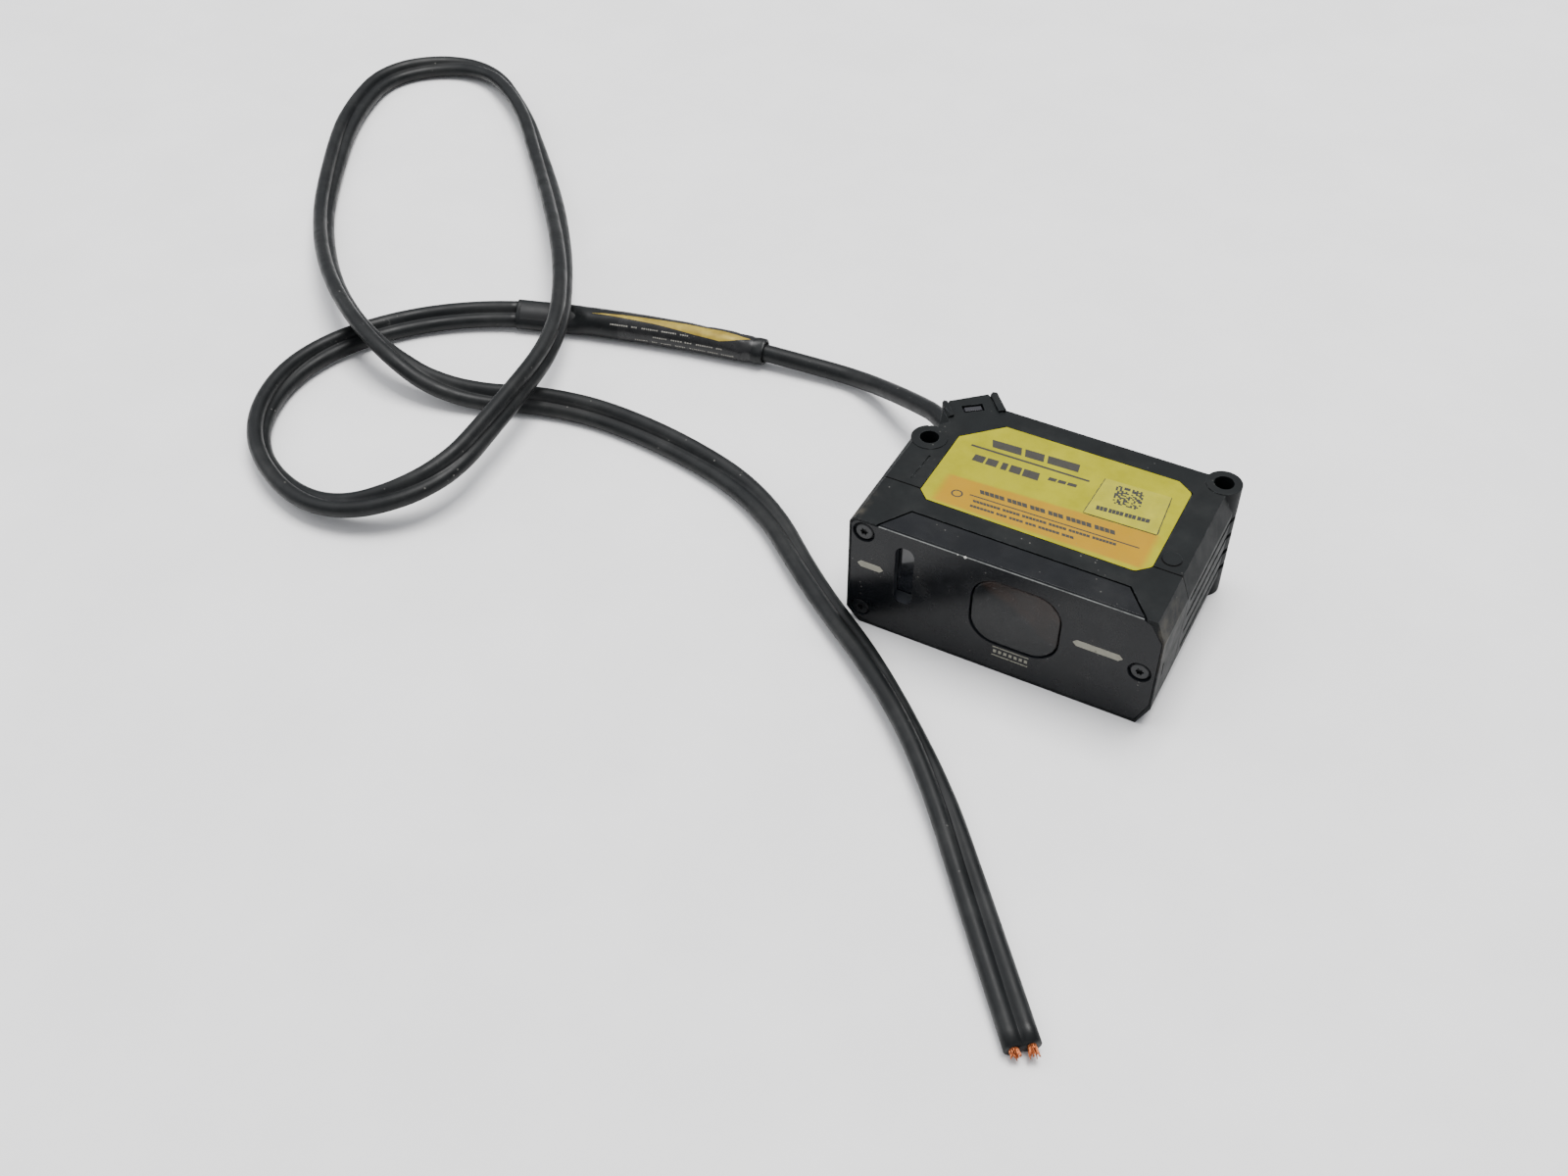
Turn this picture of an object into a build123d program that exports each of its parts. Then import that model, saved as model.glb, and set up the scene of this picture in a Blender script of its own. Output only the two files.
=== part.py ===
from build123d import *
import os
import math

os.makedirs("parts", exist_ok=True)

# ---------------------------------------------------------------- sizes (mm)
head_w = 54.5          # width of the front frame
head_h = 23.26         # height of the top face
seam_y = 11.6          # joint between front frame and main housing
seam_gap = 0.15
rear_y = 37.6          # rear wall
wall = 1.8
top_wall = 1.76
facet_x, facet_z = 52.9, 19.0     # steep facet along the right top edge
left_ch = 1.0          # chamfer along the left top edge
boss_rise = 0.15       # mounting bosses stand this much above the top
hole_r = 1.7           # M3 clearance holes through the height
hole_a = (3.2, 24.5)   # left mounting hole, from the front left corner
hole_b = (51.8, 36.5)  # right mounting hole
boss_ra, boss_rb = 3.2, 3.1
ear_top = 23.8
panel_t = 1.4
exit_z = 11.5          # height of the cable outlet
cable_r = 1.75         # round sensor cable
twin_r = 2.05          # tube of the same section as the twin cable
sleeve_r = 2.9
sleeve_z = 3.1
screw_pos = [(2.66, 20.7), (2.5, 3.3), (51.55, 11.46)]   # front screws, x and z
laser_x, laser_z = 10.2, 13.95
lens_x, lens_z = 30.05, 13.1

# Every place is measured from the front left corner of the head, and moved
# so that the origin is under the middle of the box of the head with its cable boot.
CX, CY = 27.215, 21.665


def P(*pts):
    return [(x - CX, y - CY) for x, y in pts]


def F(y):
    """Plane parallel to the front face at depth y: local x is +X, local y is +Z."""
    return Plane.XZ.offset(CY - y)


def X(*pts):
    return [(x - CX, z) for x, z in pts]


def save(part, name):
    part.label = name
    export_step(part, "parts/" + name + ".step")


# outlet wall: 45 degree face at the rear left corner
ox, oy = 4.75, 37.95
nx, ny = -0.68, 0.733
nl = math.hypot(nx, ny)
nx, ny = nx / nl, ny / nl


def outlet(d, z=exit_z):
    """Point on the outlet's axis, d mm outside the 45 degree face."""
    return (ox + nx * d - CX, oy + ny * d - CY, z)


outlet_dir = (nx, ny, 0)

body_pts = P((0, seam_y + seam_gap), (0, 24.5), (0.6, 26.6), (3.4, 27.7), (2.0, 33.0), (2.1, 35.5),
             (7.4, 40.4), (9.6, 38.9), (12.1, rear_y), (48.4, rear_y), (51.8, 38.0), (54.5, 36.5),
             (head_w, seam_y + seam_gap))
label_pts = P((7.5, 11.5), (7.6, 27.2), (13.9, 33.4), (45.0, 33.5), (47.85, 31.5), (47.9, 11.5),
              (45.7, 9.35), (9.4, 9.6))
lip_pts = P((5.2, -0.2), (8.7, 5.5), (46.3, 5.4), (50.7, -0.2))
panel_pts = X((0.45, 2.9), (0.45, 22.1), (1.2, 22.85), (50.6, 22.85), (52.0, 22.3), (54.1, 18.9),
              (54.1, 5.1), (52.2, 0.7), (4.7, 0.7), (1.9, 1.2))
frame_pts = X((0, 2.6), (0, head_h - left_ch), (left_ch, head_h), (facet_x, head_h),
              (head_w, facet_z), (head_w, 4.2), (52.5, 0), (2.4, 0))
cavity_pts = X((1.8, 3.4), (1.8, 20.6), (2.7, 21.5), (51.3, 21.5), (52.6, 18.6), (52.6, 4.8),
               (51.4, 1.9), (3.2, 1.9))

# ---------------------------------------------------------------- main housing
with BuildPart() as main_housing:
    with BuildSketch(Plane.XY):
        with BuildLine():
            Polyline(*body_pts, close=True)
        make_face()
    extrude(amount=head_h)
    # steep facet on the right top edge and the small chamfer on the left one
    with BuildSketch(F(seam_y)):
        with BuildLine():
            Polyline(*X((facet_x, head_h), (facet_x, 24), (56, 24), (56, facet_z), (head_w, facet_z)), close=True)
        make_face()
        with BuildLine():
            Polyline(*X((-1, head_h - left_ch), (0, head_h - left_ch), (left_ch, head_h), (left_ch, 24), (-1, 24)), close=True)
        make_face()
        # the bottom edges run on from the frame's own chamfers
        with BuildLine():
            Polyline(*X((head_w, 4.2), (52.5, 0), (52.5, -1), (56, -1), (56, 4.2)), close=True)
        make_face()
        with BuildLine():
            Polyline(*X((0, 2.6), (2.4, 0), (2.4, -1), (-1, -1), (-1, 2.6)), close=True)
        make_face()
    extrude(amount=-30, mode=Mode.SUBTRACT)
    # mounting bosses
    with BuildSketch(Plane.XY):
        with Locations(P(hole_a)[0]):
            Circle(boss_ra)
        with Locations(P(hole_b)[0]):
            Circle(boss_rb)
    extrude(amount=head_h + boss_rise)
    # outlet wall between the ears
    with BuildSketch(Plane.XY):
        with BuildLine():
            Polyline(*P((2.0, 34.0), (2.4, 35.6), (7.4, 40.2), (9.8, 38.6), (9.0, 33.0)), close=True)
        make_face()
    extrude(amount=head_h)
    # two thin ears standing out at the ends of the outlet wall
    with BuildSketch(Plane.XY.offset(2)):
        with BuildLine():
            Polyline(*P((1.35, 34.0), (1.45, 34.55), (2.0, 34.65), (4.65, 31.63), (3.9, 30.97)), close=True)
        make_face()
        with BuildLine():
            Polyline(*P((8.05, 39.9), (8.1, 40.75), (8.85, 40.95), (12.2, 37.1), (11.1, 36.3)), close=True)
        make_face()
    extrude(amount=ear_top - 2)
    # bevel beside the outlet, between the left boss and the left ear
    with BuildSketch(Plane(origin=(2.985 - CX, 31.6 - CY, head_h), x_dir=(-0.679, -0.734, 0), z_dir=(-0.734, 0.679, 0))):
        with BuildLine():
            Polyline((-0.6, 0.6), (4.0, -4.0), (4.0, 1.0), (-0.6, 1.0), close=True)
        make_face()
    extrude(amount=2.2, both=True, mode=Mode.SUBTRACT)
    # grooves between the ribs of the right and left walls
    for gz in (16.6, 13.0, 9.4, 5.8):
        with BuildSketch(Plane.XY.offset(gz)):
            with BuildLine():
                Polyline(*P((head_w - 0.45, 13.6), (head_w - 0.45, 34.3), (54.2, 35.3), (54.3, 37.8), (53.2, 38.9),
                            (51.0, 39.3), (51.0, 42), (58, 42), (58, 13.6)), close=True)
            make_face()
            with BuildLine():
                Polyline(*P((0.4, 13.6), (0.4, 20.8), (-2, 20.8), (-2, 13.6)), close=True)
            make_face()
        extrude(amount=1.0, mode=Mode.SUBTRACT)
    # inner space, open to the front
    with BuildSketch(Plane.XY.offset(2.4)):
        with BuildLine():
            Polyline(*P((1.8, 10), (1.8, 21.0), (7.0, 22.0), (7.0, 27.6), (4.2, 31.6), (4.2, 34.4),
                        (7.7, 37.6), (11.4, 35.8), (48.2, 35.8), (48.2, 32.4), (52.6, 31.6), (52.6, 10)), close=True)
        make_face()
    extrude(amount=21.5 - 2.4, mode=Mode.SUBTRACT)
    # keep the facet's wall: fill the inner corner under it
    with BuildSketch(F(seam_y + seam_gap)):
        with BuildLine():
            Polyline(*X((51.2, 21.6), (52.7, 18.4), (53.0, 18.4), (53.0, 21.6)), close=True)
        make_face()
        # screw bosses behind the frame
        with Locations(*X(*screw_pos)):
            Circle(2.0)
    extrude(amount=-7.0)
    with BuildSketch(F(seam_y + seam_gap + 7)):
        with BuildLine():
            Polyline(*X((51.2, 21.6), (52.7, 18.4), (53.0, 18.4), (53.0, 21.6)), close=True)
        make_face()
    extrude(amount=-13.5)
    with BuildSketch(F(seam_y)):
        with Locations(*X(*screw_pos)):
            Circle(0.85)
    extrude(amount=-6.5, mode=Mode.SUBTRACT)
    # bosses for the cover's screws and posts for the main board
    with BuildSketch(Plane.XY.offset(1.3)):
        with Locations(*P((8.9, 15.1), (46.1, 15.1), (8.9, 32.6), (46.1, 32.6))):
            Circle(1.8)
    extrude(amount=4.0)
    with BuildSketch(Plane.XY.offset(19.85)):
        with Locations(*P((14.0, 16.0), (44.0, 16.0), (30.0, 33.6))):
            Circle(1.9)
    extrude(amount=1.75)
    # bottom opening with its rebate
    with BuildSketch(Plane.XY):
        with Locations(P((27.5, 23.85))[0]):
            Rectangle(41.2, 21.5)
    extrude(amount=1.75, mode=Mode.SUBTRACT)
    with BuildSketch(Plane.XY):
        with Locations(P((27.5, 23.85))[0]):
            Rectangle(33.4, 13.7)
    extrude(amount=3, mode=Mode.SUBTRACT)
    with BuildSketch(Plane.XY.offset(1.3)):
        with Locations(*P((8.9, 15.1), (46.1, 15.1), (8.9, 32.6), (46.1, 32.6))):
            Circle(0.85)
    extrude(amount=3.3, mode=Mode.SUBTRACT)
    with BuildSketch(Plane.XY.offset(19.5)):
        with Locations(*P((14.0, 16.0), (44.0, 16.0), (30.0, 33.6))):
            Circle(0.7)
    extrude(amount=2.7, mode=Mode.SUBTRACT)
    # mounting holes through the height
    with BuildSketch(Plane.XY.offset(-1)):
        with Locations(*P(hole_a, hole_b)):
            Circle(hole_r)
    extrude(amount=30, mode=Mode.SUBTRACT)
    # seat of the label
    with BuildSketch(Plane.XY.offset(head_h - 0.3)):
        with BuildLine():
            Polyline(*label_pts, close=True)
        make_face()
        offset(amount=0.15)
    extrude(amount=1, mode=Mode.SUBTRACT)
    # cable outlet
    with BuildSketch(Plane(origin=outlet(6), z_dir=outlet_dir)):
        Circle(2.45)
    extrude(amount=-9.5, mode=Mode.SUBTRACT)
    # slot for the indicator lens, and the engraved line beside the label
    with BuildSketch(Plane(origin=(6.64 - CX, 35.5 - CY, 20), x_dir=(0.79, 0.61, 0), z_dir=(0, 0, 1))):
        Rectangle(3.8, 1.9)
    extrude(amount=6, mode=Mode.SUBTRACT)
    with BuildSketch(Plane(origin=(5.15 - CX, 16.7 - CY, head_h - 0.2), x_dir=(0.044, 1, 0), z_dir=(0, 0, 1))):
        SlotOverall(6.9, 0.35)
    extrude(amount=1, mode=Mode.SUBTRACT)
    # raised round mark near the right front
    with BuildSketch(Plane.XY.offset(head_h)):
        with Locations(P((50.1, 14.7))[0]):
            Circle(1.6)
    extrude(amount=0.15)
save(main_housing.part, "main_housing")

# ---------------------------------------------------------------- front frame
with BuildPart() as front_frame:
    with BuildSketch(F(0)):
        with BuildLine():
            Polyline(*frame_pts, close=True)
        make_face()
    extrude(amount=-seam_y)
    # inner space behind the web
    with BuildSketch(F(2.8)):
        with BuildLine():
            Polyline(*cavity_pts, close=True)
        make_face()
    extrude(amount=-10, mode=Mode.SUBTRACT)
    # pillars for the front screws and bosses for the optical base
    with BuildSketch(F(2.6)):
        with Locations(*X(*screw_pos)):
            Circle(2.1)
    extrude(amount=-(seam_y - 2.6))
    with BuildSketch(F(2.6)):
        with Locations(*X((17.6, 4.6), (43.4, 18.6), (43.4, 4.6))):
            Circle(1.9)
    extrude(amount=-3.4)
    # pocket for the front panel and its lip
    with BuildSketch(F(-1)):
        with BuildLine():
            Polyline(*panel_pts, close=True)
        make_face()
        offset(amount=0.12)
    extrude(amount=-(1 + panel_t + 0.3), mode=Mode.SUBTRACT)
    with BuildSketch(Plane.XY.offset(head_h - 1.2)):
        with BuildLine():
            Polyline(*P((4.56, -1), (8.7, 5.5), (46.3, 5.4), (51.51, -1)), close=True)
        make_face()
        offset(amount=0.35)
    extrude(amount=3, mode=Mode.SUBTRACT)
    # windows in the web
    with BuildSketch(F(1)):
        with Locations(X((laser_x, laser_z))[0]):
            RectangleRounded(4.6, 12.6, 1.0)
        with Locations(X((lens_x, lens_z))[0]):
            RectangleRounded(13.4, 11.8, 3.8)
    extrude(amount=-3, mode=Mode.SUBTRACT)
    with BuildSketch(F(1)):
        with Locations(X((lens_x, lens_z))[0]):
            RectangleRounded(15.82, 14.2, 5.0)
    extrude(amount=-1.15, mode=Mode.SUBTRACT)
    # clearance for the screws
    with BuildSketch(F(1)):
        with Locations(*X(*screw_pos)):
            Circle(1.15)
    extrude(amount=-12, mode=Mode.SUBTRACT)
    with BuildSketch(F(3.2)):
        with Locations(*X((17.6, 4.6), (43.4, 18.6), (43.4, 4.6))):
            Circle(0.85)
    extrude(amount=-4, mode=Mode.SUBTRACT)
    # seat of the body seal
    with BuildSketch(F(seam_y)):
        with BuildLine():
            Polyline(*X((0.75, 2.9), (0.75, 21.9), (1.35, 22.5), (52.4, 22.5), (53.75, 18.9), (53.75, 4.4), (52.0, 0.75), (2.7, 0.75)), close=True)
        make_face()
        with BuildLine():
            Polyline(*X((1.35, 3.1), (1.35, 21.6), (1.65, 21.9), (52.0, 21.9), (53.15, 18.8), (53.15, 4.5), (51.7, 1.35), (2.9, 1.35)), close=True)
        make_face(mode=Mode.SUBTRACT)
    extrude(amount=0.6, mode=Mode.SUBTRACT)
    # seat of the label's front strip
    with BuildSketch(Plane.XY.offset(head_h - 0.3)):
        with BuildLine():
            Polyline(*label_pts, close=True)
        make_face()
        offset(amount=0.15)
    extrude(amount=1, mode=Mode.SUBTRACT)
    # small slot in the right wall
    with BuildSketch(Plane.YZ.offset(head_w - 0.6 - CX)):
        with Locations((2.8 - CY, 11.1)):
            Rectangle(0.7, 3.0)
    extrude(amount=3, mode=Mode.SUBTRACT)
save(front_frame.part, "front_frame")

# ---------------------------------------------------------------- body seal
with BuildPart() as body_seal:
    with BuildSketch(F(seam_y - 0.55)):
        with BuildLine():
            Polyline(*X((0.8, 2.92), (0.8, 21.88), (1.37, 22.45), (52.36, 22.45), (53.7, 18.89), (53.7, 4.41), (51.97, 0.8), (2.73, 0.8)), close=True)
        make_face()
        with BuildLine():
            Polyline(*X((1.3, 3.08), (1.3, 21.62), (1.63, 21.95), (52.04, 21.95), (53.2, 18.81), (53.2, 4.49), (51.73, 1.3), (2.87, 1.3)), close=True)
        make_face(mode=Mode.SUBTRACT)
    extrude(amount=-0.68)
save(body_seal.part, "body_seal")

# ---------------------------------------------------------------- front panel
with BuildPart() as front_panel:
    with BuildSketch(F(0)):
        with BuildLine():
            Polyline(*panel_pts, close=True)
        make_face()
    extrude(amount=-panel_t)
    # lip that wraps over the top edge
    with BuildSketch(Plane.XY.offset(head_h - 1.0)):
        with BuildLine():
            Polyline(*P((5.2, 0), (8.7, 5.5), (46.3, 5.4), (50.7, 0)), close=True)
        make_face()
    extrude(amount=1.0)
    # worn front edge of the lip
    with BuildSketch(Plane.YZ.offset(4 - CX)):
        with BuildLine():
            Polyline((-0.3 - CY, head_h - 0.35), (-0.3 - CY, head_h + 0.3), (0.35 - CY, head_h + 0.3), (0.35 - CY, head_h), (0.0 - CY, head_h - 0.35), close=True)
        make_face()
    extrude(amount=48, mode=Mode.SUBTRACT)
    # laser slot with its sloping ends, and the receiver's opening
    with BuildSketch(F(-1)):
        with Locations(X((laser_x, laser_z))[0]):
            Rectangle(3.4, 9.5)
        with Locations(X((lens_x, lens_z))[0]):
            RectangleRounded(15.82, 14.2, 5.0)
    extrude(amount=-5, mode=Mode.SUBTRACT)
    with BuildPart(mode=Mode.SUBTRACT):
        with BuildSketch(F(-0.5)):
            with Locations(X((laser_x, laser_z))[0]):
                SlotOverall(12.6, 3.4, rotation=90)
        extrude(amount=-2.0)
        with BuildSketch(Plane.YZ.offset(laser_x - 3 - CX)):
            with BuildLine():
                zc = laser_z
                Polyline((-0.6 - CY, zc - 6.9), (-0.6 - CY, zc + 6.9), (0 - CY, zc + 6.2), (panel_t + 0.1 - CY, zc + 4.75),
                         (panel_t + 0.1 - CY, zc - 4.75), (0 - CY, zc - 6.2), close=True)
            make_face()
        extrude(amount=6, mode=Mode.INTERSECT)
    # screw recesses
    with BuildSketch(F(-1)):
        with Locations(*X(screw_pos[0], screw_pos[2])):
            Circle(2.0)
        with Locations(X(screw_pos[1])[0]):
            Circle(1.78)
    extrude(amount=-2.0, mode=Mode.SUBTRACT)
    with BuildSketch(F(-1)):
        with Locations(*X(*screw_pos)):
            Circle(1.15)
    extrude(amount=-4, mode=Mode.SUBTRACT)
save(front_panel.part, "front_panel")

# ---------------------------------------------------------------- front seals and windows
with BuildPart() as panel_seal:
    with BuildSketch(F(panel_t + 0.02)):
        with BuildLine():
            Polyline(*panel_pts, close=True)
        make_face()
        offset(amount=-0.5)
        with Locations(X((laser_x, laser_z))[0]):
            Rectangle(5.2, 13.2, mode=Mode.SUBTRACT)
        with Locations(X((lens_x, lens_z))[0]):
            RectangleRounded(16.4, 14.8, 5.2, mode=Mode.SUBTRACT)
        with Locations(*X(*screw_pos)):
            Circle(1.4, mode=Mode.SUBTRACT)
        # nothing under the lip's groove along the top edge
        with Locations(X((27.95, 22.6))[0]):
            Rectangle(48.5, 1.6, mode=Mode.SUBTRACT)
    extrude(amount=-0.26)
save(panel_seal.part, "panel_seal")

with BuildPart() as receiver_seal:
    with BuildSketch(F(1.58)):
        with Locations(X((lens_x, lens_z))[0]):
            RectangleRounded(15.6, 14.0, 4.9)
            RectangleRounded(13.6, 12.0, 3.9, mode=Mode.SUBTRACT)
    extrude(amount=-0.55)
save(receiver_seal.part, "receiver_seal")

with BuildPart() as receiver_window:
    with BuildSketch(F(0.12)):
        with Locations(X((lens_x, lens_z))[0]):
            RectangleRounded(15.4, 13.78, 4.8)
    extrude(amount=-1.44)
    chamfer(receiver_window.faces().sort_by(Axis.Y)[0].edges(), 0.25)
save(receiver_window.part, "receiver_window")

with BuildPart() as emitter_window:
    with BuildSketch(F(1.5)):
        with Locations(X((laser_x, laser_z))[0]):
            RectangleRounded(4.4, 12.4, 0.9)
    extrude(amount=-1.2)
save(emitter_window.part, "emitter_window")

# ---------------------------------------------------------------- front screws
with BuildPart() as front_screws:
    with BuildSketch(F(0.15)):
        with Locations(*X(*screw_pos)):
            Circle(1.6)
    extrude(amount=-0.83)
    chamfer(front_screws.faces().filter_by(Axis.Y).sort_by(Axis.Y)[0:3].edges(), 0.18)
    with BuildSketch(F(0.9)):
        with Locations(*X(*screw_pos)):
            Circle(1.0)
    extrude(amount=-10.4)
    with BuildSketch(F(11.2)):
        with Locations(*X(*screw_pos)):
            Circle(0.8)
    extrude(amount=-6.2)
    # six-lobe sockets
    with BuildSketch(F(0)):
        with Locations(*X(*screw_pos)):
            Circle(0.5)
            with PolarLocations(0.5, 6):
                Circle(0.2)
    extrude(amount=-0.65, mode=Mode.SUBTRACT)
save(front_screws.part, "front_screws")

# ---------------------------------------------------------------- label and sticker
with BuildPart() as label_plate:
    with BuildSketch(Plane.XY.offset(head_h - 0.28)):
        with BuildLine():
            Polyline(*label_pts, close=True)
        make_face()
    extrude(amount=0.28)
    fillet(label_plate.edges().filter_by(Axis.Z).sort_by(Axis.X)[-3:], 1.2)
save(label_plate.part, "label_plate")

st = [(33.9, 28.4), (45.2, 28.9), (46.0, 19.0), (33.6, 18.6)]
with BuildPart() as serial_sticker:
    with BuildSketch(Plane.XY.offset(head_h + 0.01)):
        with BuildLine():
            Polyline(*P(*st), close=True)
        make_face()
    extrude(amount=0.08)
save(serial_sticker.part, "serial_sticker")

# ---------------------------------------------------------------- bottom cover
cover_screw = P((8.9, 15.1), (46.1, 15.1), (8.9, 32.6), (46.1, 32.6))
with BuildPart() as bottom_cover:
    with BuildSketch(Plane.XY):
        with Locations(P((27.5, 23.85))[0]):
            RectangleRounded(40.9, 21.2, 0.4)
    extrude(amount=1.15)
    with BuildSketch(Plane.XY):
        with Locations(*cover_screw):
            Circle(1.85)
    extrude(amount=0.7, mode=Mode.SUBTRACT)
    with BuildSketch(Plane.XY):
        with Locations(*cover_screw):
            Circle(1.15)
    extrude(amount=2, mode=Mode.SUBTRACT)
    with BuildSketch(Plane.XY.offset(1.15)):
        with Locations(P((27.5, 23.85))[0]):
            Rectangle(32.6, 12.9)
            Rectangle(30.6, 10.9, mode=Mode.SUBTRACT)
    extrude(amount=1.0)
save(bottom_cover.part, "bottom_cover")

with BuildPart() as cover_seal:
    with BuildSketch(Plane.XY.offset(1.18)):
        with Locations(P((27.5, 23.85))[0]):
            Rectangle(40.6, 20.9)
            Rectangle(33.6, 13.9, mode=Mode.SUBTRACT)
        with Locations(*cover_screw):
            Circle(1.3, mode=Mode.SUBTRACT)
    extrude(amount=0.54)
save(cover_seal.part, "cover_seal")

with BuildPart() as cover_screws:
    with BuildSketch(Plane.XY.offset(0.05)):
        with Locations(*cover_screw):
            Circle(1.7)
    extrude(amount=0.62)
    with BuildSketch(Plane.XY.offset(0.6)):
        with Locations(*cover_screw):
            Circle(0.8)
    extrude(amount=3.8)
    with BuildSketch(Plane.XY):
        with Locations(*cover_screw):
            Rectangle(1.7, 0.4)
            Rectangle(0.4, 1.7)
    extrude(amount=0.45, mode=Mode.SUBTRACT)
save(cover_screws.part, "cover_screws")

# ---------------------------------------------------------------- optical unit
base_holes = [(17.6, 4.6), (43.4, 18.6), (43.4, 4.6)]
S = Plane(origin=(34 - CX, 24 - CY, lens_z), x_dir=(0.978, 0.208, 0), z_dir=(0.208, -0.978, 0))
with BuildPart() as optical_base:
    with BuildSketch(F(6.3)):
        with Locations(X((27.05, 11.8))[0]):
            RectangleRounded(42.9, 18.0, 1.0)
    extrude(amount=-1.8)
    with BuildSketch(Plane.XY.offset(2.8)):
        with BuildLine():
            Polyline(*P((20, 7), (41, 7), (41, 11.6), (43.6, 12.5), (43.6, 29.2), (22, 26.6), (20, 24)), close=True)
        make_face()
    extrude(amount=1.6)
    with BuildSketch(S.offset(-2.9)):
        with Locations((0, 10.45 - lens_z)):
            Rectangle(22, 15.3)
    extrude(amount=-1.8)
    # two ribs that stiffen the sensor's bracket
    with BuildSketch(Plane.XY.offset(3)):
        with Locations(P((24.2, 28.0))[0], P((41.3, 30.2))[0]):
            Rectangle(1.4, 3.0)
    extrude(amount=9)
    with BuildSketch(F(6)):
        with Locations(X((laser_x, laser_z))[0]):
            Circle(3.65)
        with Locations(X((lens_x, lens_z))[0]):
            Circle(7.05)
        with Locations(*X(*base_holes)):
            Circle(1.15)
    extrude(amount=-2.4, mode=Mode.SUBTRACT)
    with BuildSketch(S.offset(-2.5)):
        with Locations((-8.2, 0), (8.2, 0)):
            Circle(0.78)
    extrude(amount=-2.6, mode=Mode.SUBTRACT)
save(optical_base.part, "optical_base")

with BuildPart() as base_screws:
    with BuildSketch(F(8.13)):
        with Locations(*X(*base_holes)):
            Circle(1.7)
    extrude(amount=-1.2)
    with BuildSketch(F(3.6)):
        with Locations(*X(*base_holes)):
            Circle(0.8)
    extrude(amount=-5)
    with BuildSketch(F(8.9)):
        with Locations(*X(*base_holes)):
            Rectangle(1.8, 0.4)
            Rectangle(0.4, 1.8)
    extrude(amount=-1, mode=Mode.SUBTRACT)
save(base_screws.part, "base_screws")

with BuildPart() as laser_holder:
    with BuildSketch(F(4.0)):
        with Locations(X((laser_x, laser_z))[0]):
            Circle(3.6)
            Circle(1.8, mode=Mode.SUBTRACT)
    extrude(amount=-10)
    with BuildSketch(F(4.8)):
        with Locations(X((laser_x, laser_z))[0]):
            Circle(2.5)
    extrude(amount=-3.2, mode=Mode.SUBTRACT)
    with BuildSketch(F(9.6)):
        with Locations(X((laser_x, laser_z))[0]):
            Circle(2.85)
    extrude(amount=-5, mode=Mode.SUBTRACT)
save(laser_holder.part, "laser_holder")

with BuildPart() as laser_diode:
    with BuildSketch(F(12.7)):
        with Locations(X((laser_x, laser_z))[0]):
            Circle(2.8)
    extrude(amount=-1.2)
    with BuildSketch(F(10.2)):
        with Locations(X((laser_x, laser_z))[0]):
            Circle(1.75)
    extrude(amount=-2.6)
    with BuildSketch(F(13.8)):
        with Locations(X((laser_x, laser_z))[0]):
            with PolarLocations(1.0, 3):
                Circle(0.22)
    extrude(amount=-2.8)
save(laser_diode.part, "laser_diode")

with BuildPart() as laser_board:
    with BuildSketch(F(14.5)):
        with Locations(X((laser_x, laser_z))[0]):
            Circle(3.4)
            with PolarLocations(1.0, 3):
                Circle(0.3, mode=Mode.SUBTRACT)
    extrude(amount=-1.0)
save(laser_board.part, "laser_board")


def lens(part_x, part_z, y0, y1, r, bulge_front, bulge_rear):
    """Profile of a lens in the XY plane, turned round its own axis."""
    x0 = part_x - CX

    def mid(b):
        R = (r * r + b * b) / (2 * b)
        return math.sqrt(R * R - r * r / 4) - (R - b)

    with BuildPart() as body:
        with BuildSketch(Plane.XY.offset(part_z)):
            with BuildLine():
                Line((x0, y0 - bulge_front - CY), (x0, y1 + bulge_rear - CY))
                ThreePointArc((x0, y1 + bulge_rear - CY), (x0 + r * 0.5, y1 + mid(bulge_rear) - CY), (x0 + r, y1 - CY))
                Line((x0 + r, y1 - CY), (x0 + r, y0 - CY))
                ThreePointArc((x0 + r, y0 - CY), (x0 + r * 0.5, y0 - mid(bulge_front) - CY), (x0, y0 - bulge_front - CY))
            make_face()
        revolve(axis=Axis((x0, 0, part_z), (0, 1, 0)))
    return body.part


save(lens(laser_x, laser_z, 5.6, 6.6, 2.45, 0.3, 0.6), "collimator_lens")
save(lens(lens_x, lens_z, 5.2, 6.8, 5.95, 0.9, 0.3), "receiver_lens")
save(lens(lens_x, lens_z, 8.7, 9.9, 5.95, 0.2, 0.7), "rear_lens")

with BuildPart() as lens_barrel:
    with BuildSketch(F(3.2)):
        with Locations(X((lens_x, lens_z))[0]):
            Circle(7.0)
            Circle(5.3, mode=Mode.SUBTRACT)
    extrude(amount=-9.0)
    with BuildSketch(F(3)):
        with Locations(X((lens_x, lens_z))[0]):
            Circle(6.0)
    extrude(amount=-4.2, mode=Mode.SUBTRACT)
    with BuildSketch(F(8.6)):
        with Locations(X((lens_x, lens_z))[0]):
            Circle(6.0)
    extrude(amount=-5, mode=Mode.SUBTRACT)
save(lens_barrel.part, "lens_barrel")

with BuildPart() as lens_ring:
    with BuildSketch(F(3.4)):
        with Locations(X((lens_x, lens_z))[0]):
            Circle(5.93)
            Circle(5.0, mode=Mode.SUBTRACT)
    extrude(amount=-0.8)
    with BuildSketch(F(3.3)):
        with Locations(X((lens_x, lens_z))[0]):
            with PolarLocations(5.5, 2):
                Rectangle(1.6, 0.8)
    extrude(amount=-0.5, mode=Mode.SUBTRACT)
save(lens_ring.part, "lens_ring")

with BuildPart() as image_sensor:
    with BuildSketch(S):
        Rectangle(14.6, 7.2)
    extrude(amount=-1.6)
    with BuildSketch(S):
        Rectangle(11.6, 3.0)
    extrude(amount=-0.4, mode=Mode.SUBTRACT)
save(image_sensor.part, "image_sensor")

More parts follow.
